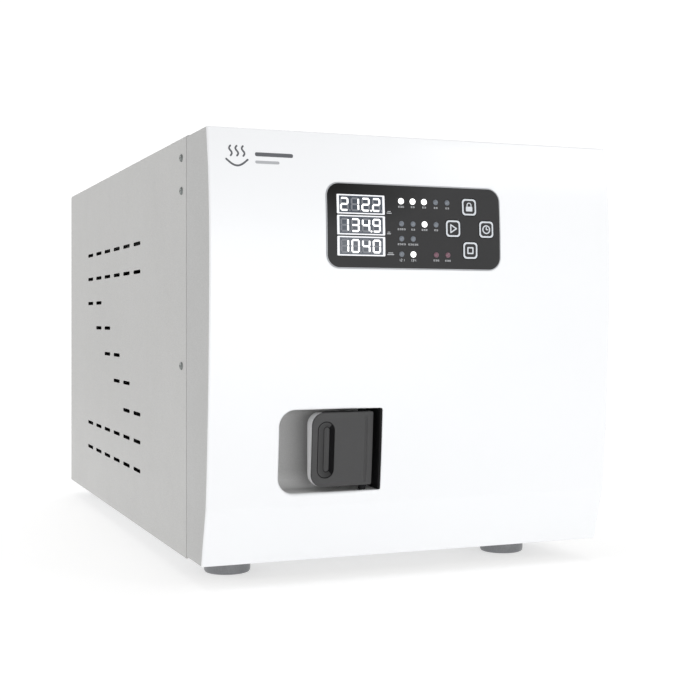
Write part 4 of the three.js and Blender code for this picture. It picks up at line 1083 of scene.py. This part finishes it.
def cover():
    s = Skin()
    R = 3.0
    ys = list(np.linspace(SEAM_Y, REAR_Y, 13))
    zs = list(np.linspace(Z0, Z1 - R, 8))
    outer = [(y, Z0) for y in ys] + [(REAR_Y, z) for z in zs[1:-1]] + [(y, Z1 - R) for y in reversed(ys)] + [(SEAM_Y, z) for z in reversed(zs[1:-1])]
    holes = [stadium(SLOT_COLS[c], z, 36.5, 4.4, 8) for z, cols in SLOT_ROWS for c in cols] + [circle(SCREW_Y, z, 2.6, 18) for z in SCREW_Z]
    V, F = cdt(outer, holes)
    for side in (-1, 1):
        for f in F:
            pts = [(side * HW, V[i][0], V[i][1]) for i in f]
            if side < 0:
                pts.reverse()
            s.face(pts, [(side, 0, 0)] * 3)
        P, N = [], []
        for i in range(7):
            a = math.pi / 2 * i / 6
            P.append([(side * (HW - R + R * math.cos(a)), y, Z1 - R + R * math.sin(a)) for y in ys])
            N.append([(side * math.cos(a), 0, math.sin(a)) for y in ys])
        s.grid(P, N, flip=side < 0)
    xs = list(np.linspace(-HW + R, HW - R, 9))
    outer = [(x, SEAM_Y) for x in xs] + [(HW - R, y) for y in ys[1:-1]] + [(x, REAR_Y) for x in reversed(xs)] + [(-HW + R, y) for y in reversed(ys[1:-1])]
    V, F = cdt(outer, [rrect(-125.8, 125.8, 119.2, 270.8, 0.5, 2)])
    for f in F:
        s.face([(V[i][0], V[i][1], Z1) for i in f], [(0, 0, 1)] * 3)

    def inner(A):
        B = A.copy()
        cx, cz = np.sign(A[:, 0]) * (HW - R), Z1 - R
        bend = (np.abs(A[:, 0]) > HW - R + 1e-4) & (A[:, 2] > cz + 1e-4)
        topm = (np.abs(A[:, 0]) <= HW - R + 1e-4)
        side = ~bend & ~topm
        B[side, 0] = np.sign(A[side, 0]) * (HW - 2)
        B[topm, 2] = Z1 - 2
        d = np.stack([A[:, 0] - cx, A[:, 2] - cz], 1)
        L = np.maximum(1e-9, np.linalg.norm(d, axis=1))
        B[bend, 0] = (cx + d[:, 0] / L * (R - 2))[bend]
        B[bend, 2] = (cz + d[:, 1] / L * (R - 2))[bend]
        return B

    o = s.make("cover_sheet", ["cover_paint", "gap_dark"], inner)
    # The walls of the vent slots and screw holes take the near-black: painted shade inside the openings.
    for p in o.data.polygons:
        x, y, z = (abs(p.center[0]) * 1000, p.center[1] * 1000, p.center[2] * 1000)
        if HW - 1.9 < x < HW - 0.1 and SEAM_Y + 8 < y < REAR_Y - 8 and 30 < z < 430:
            p.material_index = 1
    finish_piece(o, "cabinet", "outer_cover", slot="cover_paint")


def rear():
    s = Skin()
    x = HW - 2.4
    outer = dense([(-x, 20.3), (x, 20.3), (x, 437.6), (-x, 437.6)], 40)
    holes = []
    for i in range(-5, 6):
        h = math.sqrt(52 * 52 - (9 * i) ** 2)
        holes.append(stadium(-95 + 9 * i, 270, 4, 2 * h, 6))
    holes += [rrect(112, 174, 48, 100, 2, 3), circle(60, 300, 11, 28)]
    V, F = cdt(outer, holes)
    for f in F:
        s.face([(V[i][0], 373, V[i][1]) for i in reversed(f)], [(0, 1, 0)] * 3)

    def inner(A):
        B = A.copy()
        B[:, 1] = 371
        return B

    finish_piece(s.make("rear_sheet", ["base_steel"], inner), "cabinet", "rear_panel", slot="base_steel")
    s = Skin()
    for (x_, z_) in [(-208, 60), (-208, 230), (-208, 400), (208, 60), (208, 230), (208, 400), (-150, 325), (-40, 325), (-150, 215), (-40, 215), (0, 429), (0, 30)]:
        pan_head(s, "y", 373.02, (x_, z_), 1, 3.4)
    finish_piece(s.make("rear_screws", ["zinc_steel", "gap_dark"]), "cabinet", slot="zinc_steel")
    # raised finger ring around the fan opening
    s = Skin()
    for r_ in (18, 36, 54):
        lathe(s, [(r_ + 1.0 * math.cos(a), 374.0 + 1.0 * math.sin(a)) for a in np.linspace(0, 2 * math.pi, 11)[:-1]], ("y", -95, 270), 64, smooth=80)
    for a in (45, 135, 225, 315):
        ca, sa = math.cos(math.radians(a)), math.sin(math.radians(a))
        tube(s, [(-95 + ca * 3, 374.2, 270 + sa * 3), (-95 + ca * 62, 374.2, 270 + sa * 62)], 1.0, 10)
    finish_piece(s.make("fan_guard", ["zinc_steel"]), "cabinet", slot="zinc_steel")


def tube(s, path, r, seg=10, m=0):
    """A round rod along a straight or bent path, with flat ends."""
    P = [np.array(p, float) for p in path]
    rows, nn = [], []
    up = None
    for i, p in enumerate(P):
        d = (P[min(i + 1, len(P) - 1)] - P[max(i - 1, 0)])
        d /= np.linalg.norm(d)
        if up is None:
            up = np.array([0, 0, 1.0]) if abs(d[2]) < 0.9 else np.array([1.0, 0, 0])
        u = np.cross(up, d)
        u /= np.linalg.norm(u)
        v = np.cross(d, u)
        up = v
        ring = [u * math.cos(2 * math.pi * k / seg) + v * math.sin(2 * math.pi * k / seg) for k in range(seg)]
        rows.append([tuple(p + r * q) for q in ring])
        nn.append([tuple(q) for q in ring])
    s.grid(rows, nn, m, ring=True)
    for row, c, rev in ((rows[0], P[0], True), (rows[-1], P[-1], False)):
        for k in range(seg):
            t = [tuple(c), row[k], row[(k + 1) % seg]]
            if rev:
                t.reverse()
            s.face(t, None, m)


def pan_head(s, axis, at, c, sg, r=3.6, h=1.7):
    """Pan head screw with a cross recess drawn as two near-black bars sunk into the head, painted shade, on a face
    across x or y.
    """
    prof = [(0.0, at - sg * 0.6), (r - 0.1, at - sg * 0.6), (r, at), (r * 0.97, at + sg * h * 0.45), (r * 0.80, at + sg * h * 0.8), (r * 0.5, at + sg * h * 0.97), (0.0, at + sg * h)]
    lathe(s, prof, (axis, *c), 28, 0, smooth=50)
    t = at + sg * (h + 0.03)
    lo_, hi_ = sorted((t, t - sg * 0.8))
    # The cross bars take material index 1, the near-black: painted shade in the recess.
    for w, l in ((0.42, r * 0.55), (r * 0.55, 0.42)):
        if axis == "x":
            box(s, lo_, hi_, c[0] - w, c[0] + w, c[1] - l, c[1] + l, 0.05, 1, 1)
        else:
            box(s, c[0] - w, c[0] + w, lo_, hi_, c[1] - l, c[1] + l, 0.05, 1, 1)


def rails():
    for name, sg in (("left", -1), ("right", 1)):
        s = Skin()
        a = sorted((sg * (HW - 2.4), sg * (HW - 4.4)))
        box(s, a[0], a[1], -291, -271, 198, 428, 0.4)
        for z in SCREW_Z:
            pan_head(s, "x", sg * (HW + 0.05), (SCREW_Y, z), sg, 4.0, 1.85)
            b = sorted((sg * (HW - 3), sg * (HW + 0.3)))
            tube(s, [(b[0], SCREW_Y, z), (b[1], SCREW_Y, z)], 2.1, 14)
        finish_piece(s.make("screw_rail_" + name + "_set", ["screw_dark", "gap_dark"]), "cabinet", "screw_rail_" + name, slot="zinc_steel")


def feet():
    for name, (x, y) in (("front_left", (-169, -276)), ("front_right", (148, -276)), ("rear_left", (-169, 340)), ("rear_right", (169, 340))):
        s = Skin()
        prof = [(0, 0), (7.5, 0), (8, 1.5), (8, 5), (14, 5), (14, 1.2), (14.6, 0), (21.4, 0), (22.6, 0.5), (23.3, 1.6), (23.6, 3.2), (24, 16.4), (23.8, 17.6), (23.0, 18.6), (21.6, 19.2), (21.6, 19.7), (0, 19.7)]
        lathe(s, prof, ("z", x, y), 72, 0, smooth=42)
        finish_piece(s.make("foot_pad_" + name, ["foot_rubber"]), "cabinet", "foot_" + name, slot="foot_rubber")


def bezel():
    s = Skin()
    x = HW - 2.4
    outer = dense([(-x, 20.3), (x, 20.3), (x, 437.6), (-x, 437.6)], 40)
    holes = [circle(0, 200, 141, 120), circle(168, 388, 24.6, 48), circle(118, 46, 12.6, 32), circle(165, 46, 12.6, 32), circle(-204, 170, 4.6, 20)]
    V, F = cdt(outer, holes)
    for f in F:
        s.face([(V[i][0], SEAM_Y, V[i][1]) for i in f], [(0, -1, 0)] * 3)

    def inner(A):
        B = A.copy()
        B[:, 1] = SEAM_Y + 4
        return B

    finish_piece(s.make("bezel_sheet", ["bezel_white"], inner), "cabinet", "front_bezel", slot="bezel_white")


def chamber():
    s = Skin()
    V0, V1, R, W_ = -299.0, 151.0, 123.5, 3.5
    prof = []
    for t in np.linspace(0, 1, 13):
        a = t * math.pi / 2
        prof.append(((R + W_) * math.sin(a), V1 + 2 + 24.5 * math.cos(a)))
    prof += [(R + W_, V1 - 60), (R + W_, V0 + 0.5), (R + W_ - 0.5, V0), (R + 0.8, V0), (R, V0 + 0.8), (R, V1 - 60)]
    for t in np.linspace(1, 0, 13):
        a = t * math.pi / 2
        prof.append((R * math.sin(a), V1 + 23 * math.cos(a)))
    prof[0] = (0.0, prof[0][1])
    prof[-1] = (0.0, prof[-1][1])
    lathe(s, prof, ("y", 0, CH_Z), 96, 0, smooth=35)
    finish_piece(s.make("chamber_shell", ["stainless_chamber"]), "cabinet", "chamber_vessel", slot="stainless")
    s = Skin()
    a = R + W_ + 0.3
    lathe(s, [(a, V0), (128.2, V0), (129.2, V0 + 0.6), (137.6, V0 + 0.6), (138.6, V0), (139.4, V0), (140, V0 + 0.6), (140, V0 + 7.4), (139.4, V0 + 8.2), (135, V0 + 14), (a, V0 + 14)], ("y", 0, CH_Z), 120, 0, smooth=35)
    finish_piece(s.make("chamber_flange_ring", ["stainless_spun"]), "cabinet", "chamber_flange", slot="stainless")
    s = Skin()
    lathe(s, [(0, -303), (40, -303), (41, -303.5), (119, -303.5), (120, -303), (142.0, -303), (143, -304), (143, -310), (142, -311), (135, -311.2), (132.5, -312.5), (119, -316.6), (116, -317.4), (72, -320), (0, -320)], ("y", 0, CH_Z), 120, 0, smooth=35)
    finish_piece(s.make("pressure_plate", ["stainless_spun"]), "door", "pressure_door", slot="stainless")
    s = Skin()
    lathe(s, [(127, -302.7), (138.5, -302.7), (138.3, -301.4), (137.4, -299.9), (136.2, -299.35), (134.2, -299.35), (133.2, -300.3), (132.4, -299.35), (130.2, -299.35), (128.8, -299.8), (127.6, -301.2)], ("y", 0, CH_Z), 120, 0, smooth=50)
    finish_piece(s.make("gasket_ring", ["silicone"]), "door", "door_gasket", slot="silicone")
    s = Skin()
    prof = [(0, -300.2), (4, -300.2), (4.4, -299.4), (18.5, -299.4), (19.2, -300.3), (22.6, -300.4), (23.6, -300.0), (24, -299), (24, -281), (23.4, -280), (15, -280), (15, -262), (5, -262), (5, -246), (0, -246)]
    lathe(s, prof, ("y", 168, 388), 64, 0, smooth=35)
    finish_piece(s.make("air_filter_cap", ["tank_plastic"]), "cabinet", "air_filter", slot="tank_plastic")
    s = Skin()
    for x in (118, 165):
        lathe(s, [(6, -300.0), (7, -300.4), (11, -300.4), (12, -299.6), (12, -290), (11, -289), (11, -272), (10, -270), (0, -270), (0, -285), (6, -285)], ("y", x, 46), 40, 0, smooth=35)
    tube(s, [(120, -276, 46), (163, -276, 46)], 5, 16)
    finish_piece(s.make("drain_coupling_set", ["brass"]), "cabinet", "drain_couplings", slot="brass")


def liner():
    s = Skin()
    outer = dense(rrect(-211, 205.5, 27, 433, 0.5, 2), 40)
    holes = [circle(0, 200, 146, 120), rrect(-197, -165, 116, 144, 3, 4), rrect(-197, -165, 256, 284, 3, 4), rrect(-210.5, -197.3, 163, 177, 4, 4)]
    V, F = cdt(outer, holes)
    for f in F:
        s.face([(V[i][0], -301.75, V[i][1]) for i in reversed(f)], [(0, 1, 0)] * 3)

    def inner(A):
        B = A.copy()
        B[:, 1] = -303.75
        return B

    finish_piece(s.make("liner_sheet", ["bezel_white"], inner), "door", "door_liner", slot="bezel_white")
    s = Skin()
    for z0, z1, g0, g1 in ((296, 311, 290, 304.5), (89, 104, 95.5, 110)):
        box(s, -198, -153, -347.4, -303.7, z0, z1, 0.6)
        box(s, -198, -153, -357, -352.6, z0, z1, 0.6)
        w0, w1 = (304.5, 311) if z0 > 200 else (89, 95.5)
        box(s, -197.9, -153.1, -353.0, -347.0, w0, w1, 0.3)
    finish_piece(s.make("latch_guides", ["bezel_white"]), "door", slot="bezel_white")
    s = Skin()
    for x, z in ((-202, 40), (-202, 420), (196, 40), (196, 420), (-202, 330), (-60, 420), (70, 420), (-60, 40), (70, 40)):
        pan_head(s, "y", -301.73, (x, z), 1, 2.9, 0.9)
    finish_piece(s.make("liner_screws", ["zinc_steel", "gap_dark"]), "door", slot="zinc_steel")


def trays():
    for name, z in (("tray_lower", 140.3), ("tray_middle", 186.3), ("tray_upper", 232.3)):
        s = Skin()
        x0, x1, y0, y1, T = -82, 82, -266, 100, 1.2
        loop = rrect(x0 + 2, x1 - 2, y0 + 2, y1 - 2, 6, 6)
        holes = [stadium(a * 50 - 0, y, 34, 6, 5) for a in (-1, 0, 1) for y in np.linspace(y0 + 34, y1 - 34, 9)]
        V, F = cdt(dense(loop, 30), holes)
        for f in F:
            s.face([(V[i][0], V[i][1], z) for i in reversed(f)], [(0, 0, -1)] * 3)
        L0 = dense(loop, 30)
        n, k = out_normals(L0)
        rows, nn = [], []
        for i in range(6):
            a = math.pi / 2 * i / 5
            rows.append([(L0[j][0] + n[j][0] * k[j] * 2 * math.sin(a), L0[j][1] + n[j][1] * k[j] * 2 * math.sin(a), z + 2 * (1 - math.cos(a))) for j in range(len(L0))])
            nn.append([(n[j][0] * math.sin(a), n[j][1] * math.sin(a), -math.cos(a)) for j in range(len(L0))])
        rows.append([(p[0], p[1], z + 17) for p in rows[-1]])
        nn.append([(n[j][0], n[j][1], 0) for j in range(len(L0))])
        s.grid(rows, nn, ring=True)

        def inner(A):
            B = A.copy()
            wall = np.clip((A[:, 2] - z) / 2, 0, 1)
            cx, cy = (x0 + x1) / 2, (y0 + y1) / 2
            out = (np.abs(A[:, 0] - cx) > 70) | (np.abs(A[:, 1] - cy) > 173)
            B[:, 0] -= np.where(out, np.sign(A[:, 0] - cx) * T * wall * (np.abs(A[:, 0] - cx) > 73.9), 0)
            B[:, 1] -= np.where(out, np.sign(A[:, 1] - cy) * T * wall * (np.abs(A[:, 1] - cy) > 174.9), 0)
            B[:, 2] += T * (1 - wall)
            return B

        finish_piece(s.make(name + "_pan", ["stainless"], inner), "cabinet", name, slot="stainless")


def back_fittings():
    s = Skin()
    ax = ("y", 60, 300)
    lathe(s, [(0, 300), (7, 300), (8, 301), (8, 385), (7.2, 386), (5.2, 386), (5.2, 380), (0, 380)], ax, 40, 0, smooth=35)
    lathe(s, [(8, 330), (14, 330), (14, 362), (8, 362)], ax, 6, 0, smooth=5)
    lathe(s, [(7.9, 373.6), (12.6, 373.6), (13, 374.2), (13, 377.2), (12.4, 378), (7.9, 378)], ax, 48, 0, smooth=35)
    finish_piece(s.make("relief_valve", ["brass"]), "cabinet", "safety_valve", slot="brass")
    s = Skin()
    for x, z in ((127, 68), (127, 79), (134.5, 73.5)):
        box(s, x - 2, x + 2, 357, 372, z - 1.2, z + 1.2, 0.5)
    finish_piece(s.make("inlet_pins", ["zinc_steel"]), "cabinet", slot="zinc_steel")


def cable_loom():
    """Bundled cables along the right wall, from the main board to the back, with ties."""
    s = Skin()
    for i, (dx, dz) in enumerate(((0, 0), (-4.6, 1.2), (-2.2, -4.2), (-2.6, 5.2))):
        path = [(203.5 + dx, -48, 308 + dz), (206 + dx, -20, 311 + dz)]
        path += [(206 + dx + 0.6 * math.sin(y / 23 + i), y, 312 + dz + 0.8 * math.sin(y / 31 + 2 * i)) for y in range(0, 300, 20)]
        path += [(204 + dx, 315, 306 + dz), (200 + dx, 332, 290 + dz), (198 + dx, 336, 262 + dz)]
        tube(s, path, 2.3, 12, i % 2)
    for y in range(20, 300, 70):
        box(s, 197.5, 209.6, y - 1.3, y + 1.3, 304.2, 320.8, 0.6, 1)
    finish_piece(s.make("cable_loom", ["black_plastic", "gap_dark"]), "cabinet", slot="black_plastic")


# ------------------------------------------------------------------ carried nodes
def carry(node, mat, width=0.5, seg=2, angle=38):
    o = NODES[node]
    me = o.data
    for a in [a.name for a in me.attributes if "normal" in a.name.lower()]:
        me.attributes.remove(me.attributes[a])
    me.polygons.foreach_set("use_smooth", [True] * len(me.polygons))
    me.materials.clear()
    me.materials.append(M[mat])
    w = o.modifiers.new("weld", "WELD")
    w.merge_threshold = 1e-5
    b = o.modifiers.new("bevel", "BEVEL")
    b.width = width / 1000
    b.segments = seg
    b.limit_method = "ANGLE"
    b.angle_limit = math.radians(angle)
    b.use_clamp_overlap = True
    b.harden_normals = True
    return o


SLOT_MAT = {x["slot"]: x["slot"] for x in frame["record"].get("materials", [])}


def carry_rest():
    slots = {p["node"]: p["material_slot"] for p in frame["record"]["subparts"]}
    looks = {"key_print": "print_light"}
    for n, o in NODES.items():
        if o.hide_render:
            continue
        sl = slots[n]
        # The crankshaft takes the dark screw metal instead of its own slot's finish, so that it stays dark in the gap
        # beside the lever: painted shade.
        mat = "screw_dark" if n == "handle_crankshaft" else looks.get(sl, sl)
        carry(n, mat if mat in M else "zinc_steel", 0.35 if n in ("main_pcb", "control_pcb", "hinge_pin", "condenser", "fan_rotor", "tray_rack") else 0.6)


# ------------------------------------------------------------------ light, camera, floor
def studio():
    sc = bpy.context.scene
    w = bpy.data.worlds.new("studio")
    sc.world = w
    w.use_nodes = True
    t = w.node_tree
    bg = t.nodes["Background"]
    bg.inputs[0].default_value = (1, 1, 1, 1)
    lp = t.nodes.new("ShaderNodeLightPath")
    mr = t.nodes.new("ShaderNodeMapRange")
    mr.inputs[3].default_value, mr.inputs[4].default_value = 0.56, 1.1
    t.links.new(lp.outputs["Is Camera Ray"], mr.inputs[0])
    t.links.new(mr.outputs[0], bg.inputs[1])
    # pale floor: a softly glowing paper disc that fades into the backdrop
    s = Skin()
    R, n = 2600.0, 64
    ring = [(R * math.cos(2 * math.pi * k / n), R * math.sin(2 * math.pi * k / n), 0.0) for k in range(n)]
    for k in range(n):
        s.face([(0, 0, 0), ring[k], ring[(k + 1) % n]], [(0, 0, 1)] * 3)
    fl = surface("floor_paper", (0.60, 0.60, 0.60), 0.85, mottle=0.0, grain=0.02, grain_scale=200, emission=(1, 1, 1, 0.55), spec=0.1)
    t = fl.node_tree
    out = t.nodes["Material Output"]
    geo, ln = t.nodes.new("ShaderNodeNewGeometry"), t.nodes.new("ShaderNodeVectorMath")
    ln.operation = "LENGTH"
    t.links.new(geo.outputs["Position"], ln.inputs[0])
    mr = t.nodes.new("ShaderNodeMapRange")
    mr.interpolation_type = "SMOOTHSTEP"
    mr.inputs[1].default_value, mr.inputs[2].default_value = 1.0, 2.3
    t.links.new(ln.outputs["Value"], mr.inputs[0])
    tr, mx = t.nodes.new("ShaderNodeBsdfTransparent"), t.nodes.new("ShaderNodeMixShader")
    t.links.new(mr.outputs[0], mx.inputs[0])
    t.links.new(t.nodes["Principled BSDF"].outputs[0], mx.inputs[1])
    t.links.new(tr.outputs[0], mx.inputs[2])
    t.links.new(mx.outputs[0], out.inputs["Surface"])
    f = s.make("floor", [fl])

    def area(name, loc, target, size, power, color=(1, 1, 1)):
        l = bpy.data.lights.new(name, "AREA")
        l.shape = "RECTANGLE"
        l.size, l.size_y = size
        l.energy = power
        l.color = color
        o = bpy.data.objects.new(name, l)
        sc.collection.objects.link(o)
        o.location = loc
        d = Vector(target) - Vector(loc)
        o.rotation_euler = d.to_track_quat("-Z", "Y").to_euler()
        return o

    area("key_front", (0.1, -3.0, 0.15), (0.0, -0.3, 0.2), (2.4, 1.2), 23)
    area("key_high", (1.5, -2.5, 1.5), (0.0, -0.35, 0.2), (0.6, 0.6), 8)
    area("side_rear_left", (-2.4, 1.7, 0.7), (-0.2, 0.3, 0.2), (1.6, 1.4), 22)
    area("fill_right", (2.8, -0.8, 1.2), (0.2, 0, 0.2), (1.8, 1.8), 9)
    area("top", (0, 0.3, 2.8), (0, 0.1, 0.3), (2.0, 2.0), 12)
    area("back", (0.6, 3.0, 1.2), (0, 0.3, 0.2), (2.0, 1.4), 14)
    cam = bpy.data.cameras.new("camera")
    cam.sensor_width = 36
    cam.lens = 65.18
    cam.shift_y = -0.043
    cam.clip_start, cam.clip_end = 0.05, 100
    c = bpy.data.objects.new("camera", cam)
    sc.collection.objects.link(c)
    c.location = (-0.5354, -1.5253, 0.2565)
    c.rotation_euler = (math.radians(90), 0, math.radians(-21.88))
    sc.camera = c
    sc.view_settings.view_transform = "Standard"
    sc.view_settings.look = "None"


door_shell()
pocket_cup()
handle_lever()
gap_shade_sheets()
overlay()
displays()
keys()
steam_mark()
cover()
rear()
rails()
feet()
bezel()
chamber()
liner()
trays()
back_fittings()
cable_loom()
carry_rest()
studio()

bpy.context.view_layer.update()
